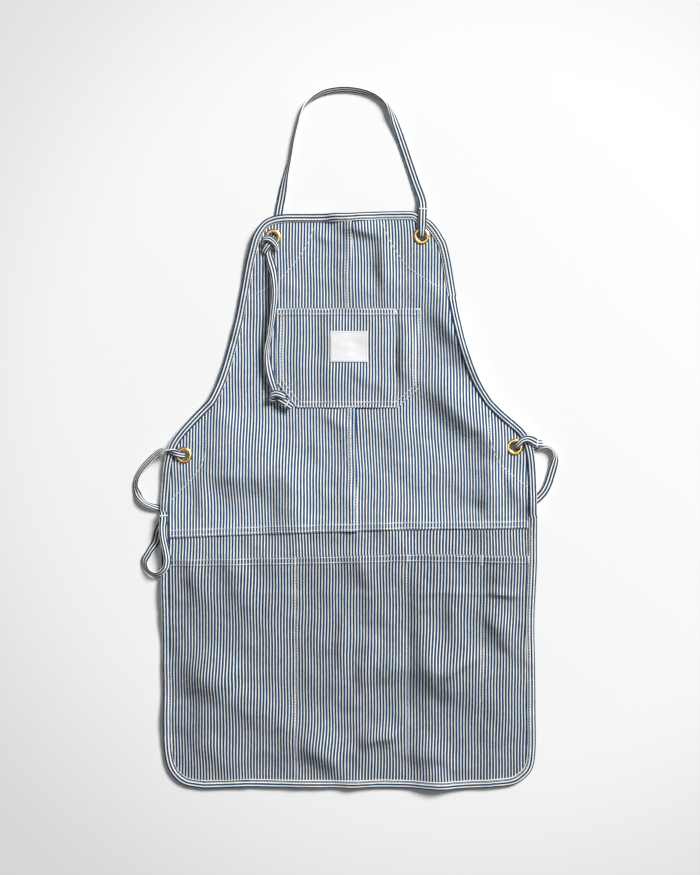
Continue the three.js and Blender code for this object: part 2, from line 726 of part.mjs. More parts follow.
const LEFT_TIE_CENTRE = [-272, -60];
const LEFT_TIE = [
  { x: -284, y: -19, z: 1.7 },
  { x: -268, y: -20, z: 1.7 },
  { x: -249, y: -23.5, z: 2, section: { width: 10, thickness: 3 } },
  { x: -240, y: -24.6, z: 2.3, section: THROUGH, lean: 15, toward: [-1, 0] },
  { x: -235.3, y: -25, z: 5.2, section: THROUGH, lean: 65, toward: [-1, 0] },
  { x: -234.3, y: -25, z: 8.8, section: THROUGH, lean: 90, toward: [-1, 0] },
  { x: -236.3, y: -25, z: 13.2, section: THROUGH, lean: 120, toward: [-1, 0] },
  { x: -242, y: -24, z: 15.2, section: THROUGH, lean: 165, toward: [-1, 0] },
  { x: -251, y: -22, z: 15.2, section: { width: 10, thickness: 3 }, lean: 180, toward: [-1, 0] },
  { x: -264, y: -18.5, z: 13.6, lean: 180, toward: [-1, 0] },
  { x: -275, y: -18, z: 8.6, lean: 180 },
  { x: -287, y: -24, z: 4.9, lean: 165 },
  { x: -296, y: -35, z: 4.2, lean: 152 },
  { x: -302.5, y: -50, z: 4.2, lean: 148 },
  { x: -304.8, y: -66.5, z: 4, lean: 150 },
  { x: -301.5, y: -81, z: 3.6, lean: 155 },
  { x: -293, y: -93, z: 2.6, lean: 165 },
  { x: -283, y: -98, z: 1.7, lean: 180 },
  { x: -268, y: -102, z: 1.7, lean: 180 },
  { x: -250, y: -109, z: 1.7, lean: 180 },
  { x: -232, y: -136, z: 1.7, lean: 180 },
  { x: -210, y: -205, z: 1.7, lean: 180 },
  { x: -190, y: -308, z: 1.7, lean: 180 },
  { x: -181, y: -432, z: 1.7, lean: 180 },
];

const RIGHT_TIE_CENTRE = [280, -48];
const RIGHT_TIE = [
  { x: 293, y: -7.5, z: 5.6, lean: 180 },
  { x: 282, y: -6.5, z: 8, lean: 180 },
  { x: 272, y: -3, z: 12.4, lean: 180 },
  { x: 261, y: -2, z: 15, lean: 180, section: { width: 10, thickness: 3 } },
  { x: 252, y: -7.5, z: 15.2, section: THROUGH, lean: 165, toward: [1, 0.5] },
  { x: 247.2, y: -11.6, z: 13.2, section: THROUGH, lean: 120, toward: [1, 0.4] },
  { x: 245.6, y: -12.9, z: 8.8, section: THROUGH, lean: 90, toward: [1, 0.2] },
  { x: 246.6, y: -13, z: 5.2, section: THROUGH, lean: 65, toward: [1, 0] },
  { x: 251.4, y: -13, z: 2.3, section: THROUGH, lean: 15, toward: [1, 0] },
  { x: 260, y: -13, z: 2, section: { width: 10, thickness: 3 } },
  { x: 278, y: -13.4, z: 1.7 },
  { x: 290, y: -14.5, z: 1.75, lean: 4 },
  { x: 300, y: -20, z: 3.4, lean: 20 },
  { x: 306, y: -32, z: 4.2, lean: 30 },
  { x: 306.8, y: -45, z: 4.2, lean: 30 },
  { x: 302, y: -61, z: 3.8, lean: 25 },
  { x: 294.5, y: -73, z: 2.6, lean: 12 },
  { x: 287, y: -81, z: 1.75, lean: 0 },
  { x: 277, y: -89, z: 1.7 },
  { x: 256, y: -122, z: 1.7 },
  { x: 236, y: -180, z: 1.7 },
  { x: 230, y: -260, z: 1.7 },
  { x: 229, y: -432, z: 1.7 },
];

const TOOL_LOOP_CENTRE = [-275, -165];
const TOOL_LOOP = [
  { x: -262, y: -110, z: 14, lean: 0 },
  { x: -268.5, y: -120, z: 13.8, lean: 0 },
  { x: -270, y: -133, z: 13.2, lean: 0 },
  { x: -264, y: -156, z: 12.6, lean: 0 },
  { x: -260.5, y: -178, z: 12.4, lean: 10 },
  { x: -264, y: -193, z: 12.6, lean: 30 },
  { x: -274, y: -199.5, z: 10, lean: 48 },
  { x: -285, y: -196.5, z: 6.4, lean: 50 },
  { x: -292, y: -186, z: 5.4, lean: 45 },
  { x: -290, y: -168, z: 4.4, lean: 35 },
  { x: -282.5, y: -148, z: 3, lean: 18 },
  { x: -275, y: -134, z: 1.7, lean: 0 },
  { x: -264, y: -121, z: 1.7, lean: 0 },
];

const strap = (centre, rows) => tape(rows.map((row) => tapeStation(centre, row)));

// The apron

const apron = new THREE.Group();

function add(name, geometry, material) {
  const mesh = new THREE.Mesh(geometry, MATERIALS[material]());
  mesh.name = name;
  apron.add(mesh);
}

function bibPanel(side, under) {
  const whole = layer(bibGrid(side), under);
  return pierced(pierced(whole, GROMMETS[`bib_${side}`]), GROMMETS[`waist_${side}`]);
}

add("bib_panel_left", bibPanel("left", bibUnder), "cloth");
add("bib_panel_right", bibPanel("right", rightBibUnder), "cloth");
add("skirt_panel", layer(skirtGrid(), skirtUnder), "cloth");
add("lower_pocket", layer(lowerPocketGrid(), lowerPocketUnder, lowerPocketThickness), "cloth");
add("chest_pocket", layer(chestPocketGrid(), chestPocketUnder, chestPocketThickness), "cloth");
add("label_patch", layer(labelGrid(), labelUnder, () => LABEL.thickness), "label");
add("edge_binding", edgeBinding(), "cloth");
for (const [corner, patch] of Object.entries(CORNER_PATCHES)) {
  const cloth = layer(patchGrid(patch), patchUnder, () => PATCH.thickness);
  add(`corner_patch_${corner}`, pierced(cloth, GROMMETS[corner]), "cloth");
}
for (const [corner, place] of Object.entries(GROMMETS)) {
  add(`grommet_${corner}`, grommet(place), "brass");
}
add("neck_strap", neckStrap(), "cloth");
add("waist_tie_left", strap(LEFT_TIE_CENTRE, LEFT_TIE), "cloth");
add("waist_tie_right", strap(RIGHT_TIE_CENTRE, RIGHT_TIE), "cloth");
add("tool_loop", strap(TOOL_LOOP_CENTRE, TOOL_LOOP), "cloth");

// The origin is under the middle of the whole apron, on the surface that it lies on
const box = new THREE.Box3().setFromObject(apron);
const middle = box.getCenter(new THREE.Vector3());
apron.position.set(-middle.x, -middle.y, -box.min.z);

export default apron;
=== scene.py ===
"""Looks of a striped bib apron that lies open on a table: cloth, seams, straps, grommets and stage.

Laid out as an add-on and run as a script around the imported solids. The plan's tables are in millimetres,
with X across the apron, Y from the hem to the neck and Z up from the table. Every object is in metres.
"""

import math
from collections import namedtuple

import bpy
import numpy as np
from bpy.props import FloatProperty, FloatVectorProperty, PointerProperty
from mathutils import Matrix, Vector


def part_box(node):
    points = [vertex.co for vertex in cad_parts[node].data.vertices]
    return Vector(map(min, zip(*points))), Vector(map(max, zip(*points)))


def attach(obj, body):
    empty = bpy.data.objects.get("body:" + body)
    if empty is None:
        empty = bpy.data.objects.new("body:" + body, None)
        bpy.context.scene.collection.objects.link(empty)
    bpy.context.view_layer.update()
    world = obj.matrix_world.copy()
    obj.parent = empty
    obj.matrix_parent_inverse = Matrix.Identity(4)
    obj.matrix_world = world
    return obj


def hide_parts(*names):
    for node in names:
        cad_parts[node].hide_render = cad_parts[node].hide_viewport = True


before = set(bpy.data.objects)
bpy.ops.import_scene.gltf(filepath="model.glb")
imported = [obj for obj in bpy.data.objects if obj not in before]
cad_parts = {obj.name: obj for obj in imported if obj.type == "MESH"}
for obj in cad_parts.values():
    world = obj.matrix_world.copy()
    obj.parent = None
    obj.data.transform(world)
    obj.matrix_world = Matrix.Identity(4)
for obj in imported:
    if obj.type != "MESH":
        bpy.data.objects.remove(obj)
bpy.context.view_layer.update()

bl_info = {
    "name": "Striped Bib Apron",
    "version": (1, 0, 0),
    "blender": (4, 5, 0),
    "location": "3D View > Sidebar > Apron",
    "description": "Builds the cloth, seams, straps, grommets and stage of a striped bib apron",
    "category": "Add Mesh",
}

BODY = "root"
MM = 0.001

# Plan of the apron, in millimetres

EdgeRow = namedtuple("EdgeRow", "y left right")
Crease = namedtuple("Crease", "line lit dark height")
Compartment = namedtuple("Compartment", "left right bulge")
Section = namedtuple("Section", "width thickness")
Join = namedtuple("Join", "x y stripe")


def rows_of(kind, *rows):
    """A table's rows, each with its named columns."""
    return [kind(*row) for row in rows]


EDGE = rows_of(
    EdgeRow,
    (-511.5, -207, 211), (-507.5, -231, 241), (-497, -247, 259), (-479, -259, 272), (-450, -264.5, 276),
    (-408, -265, 276), (-366, -265, 276), (-315, -266, 275), (-264, -266.5, 274.5),
    (-220, -267.5, 276.5), (-185, -268, 278), (-172, -268, 278), (-134, -268.5, 278),
    (-122, -268.5, 278), (-98, -268.5, 277.5), (-70, -267, 277), (-35, -263, 275.5), (-8, -255, 270.5),
    (13, -240.5, 259), (37, -218.5, 232), (48.5, -207, 220), (60, -197, 210), (90, -183.5, 192.5),
    (128, -172, 178), (171, -161, 167), (212, -153, 160), (252, -145.5, 153.5), (280, -138.5, 147),
    (293, -134.5, 140.5), (306, -127, 132), (316.5, -115, 121),
)
TOP_CORNER = {"left": (-90, 322.2), "right": (100, 326.9)}
EDGE_STEPS = 12
WAIST_SEAM = [(-270, -145.5), (-125, -139.5), (72, -133.5), (280, -131)]
POCKET_MOUTH = [(-270, -175), (-73, -172.5), (90, -168), (280, -171)]
SEAM_TOP, SEAM_FOOT, SEAM_HALF = (2.1, 325), (11.2, -137), 7
WAIST_LAP, WAIST_LAP_FADE, CENTRE_LAP_FADE = 12, (14, 34), (8, 23)
SKIRT_TOP, MOUTH_TOP, MOUTH_FINE = -122, -170, 14
SKIRT_SIDES, FIRM_SIDES, SKIRT_BLEND = {"left": -266, "right": 275.5}, {"left": -190, "right": 198}, 120
BIB_FOOT, BIB_REACH, BIB_NEAR, BIB_BLEND = -130, 275, 22, 90
HEM_WAVE = [(-275, 0), (-226, 2.1), (-180, 2.8), (-139, 4.4), (-95, 3.9), (-1, 3.2), (50, 3.8), (108, 2.5),
            (152, 1.5), (195, 3.2), (215, 4.8), (245, 3), (285, 0)]
TOP_WAVE = [(-135, 0), (-121, 0.6), (-114, 1.4), (-106, 2.6), (-98, 3), (-90, 2.5), (-80, 2.6), (-66, 2.5),
            (0, 2.3), (50, 3.5), (86, 2.7), (94, 2.4), (100, 1.4), (107, 0.6), (118, 0.4), (132, 0)]
HEM_WAVE_FADE, TOP_WAVE_RISE, TOP_WAVE_FADE = (-512, -400), (245, 318), (332, 350)

# Layers, counted up from the cloth's lie over the table
CLOTH_WALL = 1.2
LAYER_GAP = 0.35
BINDING_WIDTH, BINDING_WALL, BINDING_CLEARANCE, BINDING_FOLD = 12.2, 1.0, 0.7, 1.4
PANEL_UNDER = BINDING_WALL + BINDING_CLEARANCE
SECOND_LAYER = CLOTH_WALL + LAYER_GAP
CUT_INSET, BOUND_INSET = 2, 14.5
BINDING_STITCH, BINDING_DIP = 9.4, 0.3
BINDING_LAP_FADE, BINDING_SEAM_FADE, BINDING_SEAM_FOOT = (32, 72), (14, 40), 250
BINDING_JOINS = rows_of(Join, (-24, 321, 1.0), (157, 206, 2.6), (278, -113, 0.9), (-139, -508, 1.4))
JOIN_LAP, JOIN_EDGE, JOIN_FADE = 0.9, (-1, 1), (9, 15)
LEFT_STRIPE = [(-512, 1.4), (-300, 2.2), (-70, 3.1), (40, 2.2), (120, 1.5), (330, 1.5)]
STRIPE_SWAY, SWAY_LENGTH = 0.2, 37
HEM_FADE, CHEST_HEM_FADE = (10, 13), (9, 12)
PATCH_UNDER, PATCH_LOWEST, PATCH_WALL = -0.45, 0.1, 0.9
PATCH_CURVE, PATCH_STEP, PATCH_COLUMNS = 10, 4, 16
TOP_POINTS, HEM_POINTS = 60, 120

LOWER_POCKET = rows_of(Compartment, (-247, -73, 9), (-73, 90, 8.5), (90, 198, 8), (198, 260, 8.5))
LOWER_FILL = (-492, -360)
FULLNESS, FULLNESS_ROUND, FULLNESS_WAVES, FULLNESS_OFFSET = 0.4, 0.75, 0.2, (90, -40)
DIVIDERS = [part.right for part in LOWER_POCKET[:-1]]
DIVIDER_FINE = 4
CHEST_ROWS = rows_of(
    EdgeRow,
    (44, -71, 76), (58, -82, 92), (72, -93.5, 108), (81, -100.5, 108), (108, -100.5, 108.5),
    (160, -100.5, 108.5), (188, -100.5, 109),
)
CHEST_SLOTS = rows_of(Compartment, (-96, 73.5, 7), (73.5, 105, 12))
CHEST_FILL, CHEST_SPAN, CHEST_FINE, CHEST_SEAM_FADE = (52, 110), 209, 12, (26, 50)
LABEL_CENTRE, LABEL_SIZE, LABEL_WALL, LABEL_GRID = (5.5, 132.5), (55, 44.5), 0.8, (45, 37)

CORNER_PATCHES = {
    "bib_left": ("left", [(-44, 306), (-61.5, 271.5), (-95, 231), (-117, 216.5), (-134, 208)]),
    "bib_right": ("right", [(53, 308), (66, 280.5), (78, 263), (92, 247), (115.5, 231), (143, 214)]),
    "waist_left": ("left", [(-202, 32), (-203, -19), (-208.5, -38), (-217.5, -52.5), (-256, -93)]),
    "waist_right": ("right", [(208, 30), (209, 0), (224.5, -38), (245, -56.5), (264, -72)]),
}
GROMMETS = {
    "bib_left": (-105.7, 289), "bib_right": (110.2, 292.4),
    "waist_left": (-234.3, -25), "waist_right": (245.5, -13),
}
GROMMET_HOLE, GROMMET_BARREL, GROMMET_RIM, GROMMET_FOOT = 6.1, 7.1, 12, -1.6
GROMMET_LIE, GROMMET_LEVEL, GROMMET_FADE, GROMMET_GAP, GROMMET_CUT = 6.2, 18, 75, 0.45, 9.1

# Soft folds, and the riders, where the cloth rests on straps beneath it: ridges along lines. Seen along its
# line, a ridge slopes away on the left over the width lit, and on the right over the width dark
CREASES = rows_of(
    Crease,
    ([(94, 110), (122, 72), (146, 50), (172, 30), (206, 0)], 38, 19, 14),
    ([(196, 30), (204, -10), (204, -130)], 26, 15, 8),
    ([(96, 222), (132, 177), (166, 138), (190, 102), (206, 70)], 30, 17, 14),
    ([(-6, 306), (22, 300), (54, 290)], 16, 8, 6.5),
    ([(50, 306), (54, 262), (62, 176)], 22, 10, 9.5),
    ([(-48, 294), (-10, 276)], 14, 9, 4.5),
    ([(-236, -42), (-205, -45), (-120, -55), (-66, -58)], 70, 30, 11),
    ([(-78, -40), (-75, -140)], 16, 20, 8),
    ([(-210, -36), (-214, -128)], 12, 8, 5),
    ([(-44, 46), (14, 11)], 16, 10, 6),
    ([(232, -36), (254, -96)], 14, 9, 5),
    ([(272, -32), (274, -118)], 20, 26, 5),
    ([(-178, -160), (-136, -262)], 22, 15, 6),
    ([(-224, -170), (-210, -244)], 18, 13, 5),
    ([(-236, -326), (-196, -342), (-158, -372)], 34, 27, 16),
    ([(-198, -370), (-206, -472)], 28, 20, 6),
    ([(-3, -240), (-2, -338)], 12, 9, 5),
    ([(29, -170), (31, -250)], 14, 10, 3.2),
    ([(30, -268), (30, -378)], 14, 11, 6),
    ([(-78, -442), (-42, -455), (12, -492)], 27, 20, 15),
    ([(18, -460), (48, -438), (84, -416)], 18, 10, 12),
    ([(80, -450), (165, -474)], 26, 15, 8),
    ([(122, -478), (140, -530)], 30, 26, 6),
    ([(-10, -505), (12, -530)], 22, 18, 3),
    ([(84, -328), (120, -333), (152, -340), (186, -362)], 34, 34, 18),
    ([(130, -350), (196, -314)], 12, 8, 5.5),
    ([(204, -258), (250, -314)], 15, 10, 6.5),
    ([(108, -206), (110, -346)], 22, 16, 6.5),
    ([(156, -210), (158, -318)], 18, 11, 6),
    ([(-175, -227), (95, -226)], 5, 4, 0.9),
    ([(95, -226), (260, -228)], 6, 4, 2),
    ([(200, -221), (226, -227), (256, -231)], 9, 5, 5),
)
CHEST_CREASES = rows_of(
    Crease,
    ([(16, 94), (30, 82), (50, 75)], 14, 8, 2.6),
    ([(-66, 178), (-62, 60)], 16, 9, 1.6),
    ([(-29, 174), (-24, 64)], 16, 9, 1.5),
    ([(57, 182), (59, 62)], 10, 12, 2.2),
    ([(83, 184), (83, 66)], 12, 5, 1.5),
)
RUMPLES = [(85, 2.2, 25, 4), (42, 1.7, -20, 5), (20, 0.8, 40, 8), (11, 0.25, 10, 9)]
RUMPLE_GRID, TABLE_SOFTNESS = 64, 1.0
CREASE_DEPTH, CREASE_FADE, CREASE_ENDS = 1.12, 0.4, 0.3
CREASE_WANDER, CREASE_CELL, CREASE_SEEDS = 2.6, 34, (21, 22)
LIE_LEVEL, RIDER_SOFTNESS, RIDER_BLEND = 1.2, 1.3, 2
SIDE_PUCKER, SEAM_PUCKER, MOUTH_PUCKER, PUCKER_REACH = 0.34, 0.3, 0.26, 9
BOUND_GATHER, WAIST_GATHER, MOUTH_GATHER, WAIST_PHASE = 9, 5, 6, 40
RIDERS = rows_of(
    Crease,
    ([(110, 345), (110, 292)], 30, 28, 5),
    ([(-97, 345), (-100, 306), (-105, 289)], 30, 28, 5),
    ([(-280, -19), (-236, -25)], 30, 28, 5),
    ([(248, -12), (288, -13)], 30, 28, 5),
    ([(-285, -98), (-268, -102), (-252, -108)], 30, 24, 4.6),
    ([(-250, -109), (-232, -136), (-210, -205), (-190, -308), (-181, -432)], 34, 30, 2),
    ([(292, -77), (280, -88), (264, -103)], 30, 24, 4.6),
    ([(262, -109), (236, -180), (230, -260), (229, -432)], 34, 30, 2),
    ([(-278, -150), (-274, -136), (-264, -120)], 28, 26, 5),
)
CHEST_FLAT_X, CHEST_FLAT_Y, CHEST_FADE, CHEST_FOLDS, CHEST_WAVES = (-104, 112), (40, 192), 40, 0.6, 0.35

# How the stripes spread sideways down the apron, lean beside the centre seam and follow the folds,
# and where the middle of a stripe is in each piece
SPREAD_RIGHT, SPREAD_LEFT, SPREAD_ACROSS = 6.5, 0.5, (40, 210)
SPREAD_DOWN, CLOSING_DOWN, CLOSING = (-190, 60), (170, 420), 0.7
SEAM_SLANT, SEAM_LEAN, LOWER_SLANT = (8, 4), 38, 4.2
SLANT_ACROSS, LOWER_SLANT_DOWN, LOWER_SLANT_ACROSS = (20, 150), (-60, 60), (130, 230)
FOLD_DRIFT = 0.14
GRAIN = {"bib_left": -0.5, "bib_right": 1.1, "lower_pocket": 0.7, "chest_pocket": 1.6, "patch": 2}

# Straps: the tape's middle, the lean of its face from straight up, its section, and the direction that it
# leans towards, which is away from the strap's own centre where none is given
TAPE = Section(12, 2.5)
EASED = Section(10, 2.8)
THROUGH = Section(9, 3.2)
ROLLED = Section(9, 4)

Station = namedtuple("Station", "x y z lean section toward", defaults=(0, TAPE, None))
Turn = namedtuple("Turn", "x y z face width")
TURN_THICKNESS = 2.4
UP, DOWN, LEFT, RIGHT = (0, 1), (0, -1), (-1, 0), (1, 0)

NECK_CENTRE = (0, 400)
NECK_START = rows_of(
    Station,
    (110.5, 341, 1.7), (110.2, 326, 1.7), (110.2, 306, 2, 0, EASED), (110.2, 298, 2.3, 15, THROUGH, UP),
    (110.2, 293.4, 5.2, 65, THROUGH, UP), (110.2, 292, 8.8, 90, THROUGH, UP),
    (110.4, 293, 13, 122, THROUGH, UP), (110.9, 298.6, 15.2, 165, EASED, UP),
    (111.4, 308, 15, 180, TAPE, UP), (111.8, 322, 13.6, 180, TAPE, UP), (112, 334, 8.6, 180, TAPE, UP),
    (110.8, 346, 4.6, 182), (101.6, 372, 2.2, 182), (92.8, 398, 1.8, 181), (81.6, 431, 1.9, 183),
    (71.8, 458, 3.4, 204), (66.6, 472, 4.8, 232), (60.6, 483.4, 5.2, 262, ROLLED),
    (51, 492.6, 5, 292, ROLLED), (30, 502.4, 4.8, 314, ROLLED), (-1, 507, 4.7, 318, ROLLED),
    (-30, 503, 4.8, 314, ROLLED), (-46, 495.2, 5, 296, ROLLED), (-58.6, 484.6, 5.2, 270, ROLLED),
    (-66, 470, 5.3, 254, EASED), (-70.4, 454.6, 5.2, 247, EASED), (-75.5, 432.8, 5.2, 246, EASED),
    (-79.9, 408, 5.1, 243, EASED), (-86.2, 382, 4.4, 222, EASED), (-90.8, 360, 3, 198),
    (-95, 337, 2, 184), (-97.5, 322, 1.7, 180), (-100.5, 306, 2, 180, EASED),
    (-105, 295.4, 2.1, 165, THROUGH, DOWN), (-105.6, 289.8, 5, 115, THROUGH, DOWN),
    (-105.7, 289, 8.2, 90, THROUGH, DOWN),
)
STOPPER = rows_of(
    Turn,
    (-106, 286.2, 12.4, (0, -0.6, -0.8), 8.5), (-107, 283, 14.6, (0, -0.1, -1), 9.5),
    (-111, 279, 15.6, (0, 0, -1), 10), (-115.2, 273.5, 14.8, (0, 0, -1), 10),
    (-117.8, 269.3, 12.8, (0.45, 0.6, -0.66), 9.5), (-118.2, 267.8, 11, (0.6, 0.8, 0), 9),
    (-115.5, 271, 10.2, (0.2, 0.3, 0.93), 9), (-116.5, 279, 10.8, (0.4, 0, 0.9), 8.5),
    (-119.6, 283.4, 12.6, (1, 0, 0.2), 8.5), (-117.2, 287, 16.4, (0.6, -0.3, -0.7), 9),
    (-110.4, 286.6, 18.6, (0, -0.1, -1), 9), (-103.6, 282, 18.2, (-0.2, 0, -1), 9),
    (-99.6, 276.2, 15.8, (-0.75, 0.3, -0.5), 8.5), (-99.8, 270.6, 12.4, (-0.8, 0.5, 0.2), 8),
    (-103.5, 272.5, 10.6, (0, 0, 1), 8), (-108.5, 272.5, 10.4, (0, 0, 1), 7),
    (-111, 268.5, 10.8, (0, 0, 1), 8.5), (-110.2, 262, 12, (0, 0, 1), 10.5),
)
NECK_TAIL = rows_of(
    Station,
    (-107.6, 253.5, 13.4, 6, TAPE, RIGHT), (-104.8, 243, 14.4, 20, TAPE, RIGHT),
    (-102.6, 229, 15, 34, TAPE, RIGHT), (-101.5, 209, 14.6, 42, TAPE, RIGHT),
    (-104.5, 179, 13.8, 50, TAPE, RIGHT), (-109.5, 148, 13, 68, TAPE, RIGHT),
    (-113.5, 127.5, 12.4, 62, TAPE, RIGHT), (-112.5, 107, 12, 34, TAPE, RIGHT),
    (-109, 91, 12, 10, TAPE, RIGHT),
)
KNOT_LIFT = 3
NECK_TACKS, TIE_TACKS, LOOP_TACKS = [(112, 330.5), (-85, 50.5)], [(278, -6)], [(-263.2, -112.5)]
END_KNOT = rows_of(
    Turn,
    (-105.3, 79, 10.6, (0, 0, 1), 12), (-101.4, 68.5, 11.4, (0, 0, 1), 10),
    (-98, 61.5, 11, (0.2, -0.3, 0.93), 9), (-96.6, 57, 9.4, (0.3, -0.9, 0.3), 8.5),
    (-99, 56, 8, (0, -0.3, -0.95), 8), (-106, 55.5, 8, (-0.3, 0, -0.95), 8),
    (-109.6, 57.6, 10.4, (-1, 0, 0), 8.5), (-107.4, 61.8, 13.6, (-0.6, 0.2, 0.75), 9.5),
    (-101, 64.6, 15.6, (0, -0.1, 1), 10.5), (-94, 62.8, 15, (0.3, -0.1, 0.95), 10.5),
    (-88.8, 59.4, 12, (0.95, 0, 0.3), 9), (-89, 57.4, 9.4, (0.7, -0.3, -0.6), 7.5),
    (-94, 57.4, 8.2, (0, 0, -1), 8.5), (-98.6, 58.2, 9.4, (-1, 0.2, 0), 9),
    (-96.4, 57, 11.4, (-0.3, 0, 0.95), 10), (-91, 54.2, 12.4, (0, 0, 1), 11.5),
    (-83.6, 49.8, 11.6, (0, 0, 1), 12), (-77.2, 45.2, 9.8, (0.1, 0, 1), 12),
)
LEFT_TIE_CENTRE = (-272, -60)
LEFT_TIE = rows_of(
    Station,
    (-259, -21.4, 1.7), (-249, -23.5, 2, 0, EASED), (-240, -24.6, 2.3, 15, THROUGH, LEFT),
    (-235.3, -25, 5.2, 65, THROUGH, LEFT), (-234.3, -25, 8.8, 90, THROUGH, LEFT),
    (-236.3, -25, 13.2, 120, THROUGH, LEFT), (-242, -23.4, 15.6, 170, EASED, LEFT),
    (-249.8, -20.4, 15.8, 222, TAPE, DOWN), (-256.4, -17.8, 16.4, 268, TAPE, DOWN),
    (-263.8, -17.8, 14, 60, TAPE, UP), (-270.6, -20.6, 10.5, 48, TAPE, (-0.4, 0.9)),
    (-279.6, -28, 8.2, 46, TAPE, (-0.7, 0.7)), (-289.8, -38.3, 7, 46, TAPE, (-0.75, 0.66)),
    (-298.1, -49.4, 6.4, 48, TAPE, (-0.85, 0.5)), (-303, -59.6, 5.8, 50, TAPE, (-0.95, 0.3)),
    (-304.4, -69, 5, 40, EASED, LEFT), (-302.6, -79, 3.2, 8, EASED, LEFT),
    (-298, -88.5, 4.4, 46, EASED, (1, 0.6)), (-291, -95.3, 4.5, 54, EASED, (0.4, 0.9)),
    (-281.4, -99.3, 4.1, 46, EASED, UP), (-270.3, -102.3, 2.6, 14, EASED, UP), (-250, -109, 1.7),
    (-232, -136, 1.7), (-210, -205, 1.7), (-190, -308, 1.7), (-181, -432, 1.7),
)
RIGHT_TIE_CENTRE = (280, -48)
RIGHT_TIE = rows_of(
    Station,
    (286, -8.8, 6.4, 212, TAPE, UP), (281.4, -8.2, 8.4, 205, TAPE, UP),
    (276, -6.8, 10.8, 192, TAPE, UP), (270, -3.4, 13.2, 180), (262.5, -1.2, 15, 180, EASED),
    (255.2, -3.6, 15.6, 168, THROUGH, (1, 0.5)), (250.2, -8.6, 15, 150, THROUGH, (1, 0.5)),
    (247, -11.8, 12.6, 120, THROUGH, (1, 0.4)), (245.6, -12.9, 8.8, 90, THROUGH, (1, 0.2)),
    (246.6, -13, 5.2, 65, THROUGH, RIGHT), (251.4, -13, 2.3, 15, THROUGH, RIGHT),
    (260, -13, 2, 0, EASED), (275, -13.4, 2.6, 12, EASED), (284, -12.4, 4.8, 62, EASED),
    (292.6, -12.8, 5.2, 82, EASED), (300, -17, 5.2, 82, EASED), (304.2, -24.6, 4.6, 58, EASED),
    (304, -33, 3.2, 26), (301.8, -42.6, 2.1, 6), (298.4, -54.6, 1.8), (294.4, -66.8, 1.7),
    (288.4, -78.2, 1.7), (280.4, -87, 1.7), (270.6, -96, 1.7), (258, -118, 1.7), (236, -180, 1.7),
    (230, -260, 1.7), (229, -432, 1.7),
)
LOOP_CENTRE = (-275, -165)
TOOL_LOOP = rows_of(
    Station,
    (-263.5, -106.5, 14.2), (-263, -118, 14, 15, TAPE, RIGHT), (-264.6, -129, 13.8, 35, TAPE, RIGHT),
    (-263.6, -145.3, 13.4, 45, TAPE, RIGHT), (-259.8, -162.7, 13, 45, TAPE, RIGHT),
    (-257.6, -179, 13, 40), (-261.4, -191, 12.8, 42), (-273.8, -198.2, 10, 50), (-286.2, -193, 7, 52),
    (-291.6, -180.1, 6, 48), (-284.6, -165.4, 4.8, 38), (-275.8, -151, 3, 18), (-272.4, -136, 1.8),
    (-265, -121, 1.7),
)

# The floor's pale middle, and its painted shade: the floor's colour is painted darker towards its edge, in
# place of light falling off
FLOOR_MIDDLE, FLOOR_FADE, FLOOR_PAINTED_SHADE, FLOOR_HALF = (0.12, 0.03), (0.5, 0.9), 0.81, 6

# Azimuth, elevation and distance of the lights, and the camera's film
KEY_PLACE, TOP_PLACE = (45, 42, 14), (45, 86, 5)
FILM_WIDTH, FAR_CLIP = 36, 50

# Weave of the cloth and the label, in metres, and noises: scale, detail and stretch along the cloth
YARN_PITCH, TWILL_PITCH, TWILL_SLOPE = 0.00046, 0.00082, 0.8
RIB_PITCH, WARP_PITCH = 0.0006, 0.0004
STRIPE_WAVER, STRIPE_BLUR = 0.12, 0.07
CLOTH_NOISE = {
    "waver": (900, 2, 0.12), "slub": (1500, 2, 0.05), "cloud": (14, 3, 1), "fleck": (1900, 1, 0.45),
    "mottle": (95, 3, 0.6),
}
THREAD_GRAIN, LABEL_CLOUD = (2600, 2, 1), (120, 3, 1)
BRASS_PATINA, BRASS_SCRATCH = (260, 4, 1), (900, 3, 0.08)

# Looks: shares of the weave, the indigo where it is deep and worn, how dull a colour gets, the rise and least
# of shade and roughness along a noise, and the strength and depth of the relief
YARN_SHARE, TWILL_SHARE, WEAVE_SHADE, WARP_SHARE = 0.35, 0.65, 0.05, 0.4
INDIGO_DEEP, INDIGO_WORN = 0.7, 1.7
MOTTLE_FADE, CLOUD_FADE, FLECK_FADE, FLECK_POWER = 1.1, (0.9, -0.8), 1.6, 3
DULL_THREAD, DULL_BRASS, DULL_LABEL = 0.82, 0.8, 0.9
SLUB_SHADE, SLUB_RELIEF, CLOTH_GLOSS, CLOTH_SHEEN = (0.3, 0.85), 0.8, 0.25, 0.12
CLOTH_ROUGH, THREAD_ROUGH, BRASS_ROUGH, LABEL_ROUGH = (0.16, 0.8), (0.2, 0.6), (0.1, 0.24), (0.15, 0.72)
CLOTH_RELIEF, THREAD_RELIEF, LABEL_RELIEF = (0.35, 0.00018), (0.3, 0.0001), (0.3, 0.00012)
BRASS_RELIEF, FLOOR_ROUGH = (0.02, 0.0002), 0.9

# How the striped cloths differ: where the stripes start, depth of the indigo, share of dark, and lightness
CLOTHS = {
    "bib": {},
    "skirt": {"depth": 0.75, "share_change": 0.01, "light": 0.95},
    "pocket": {"depth": 0.62, "share_change": 0.03, "light": 0.83},
    "tape": {"phase": 0.5, "depth": 0.6, "share_change": -0.02},
    "binding": {"phase": 0.5, "depth": 0.7},
}

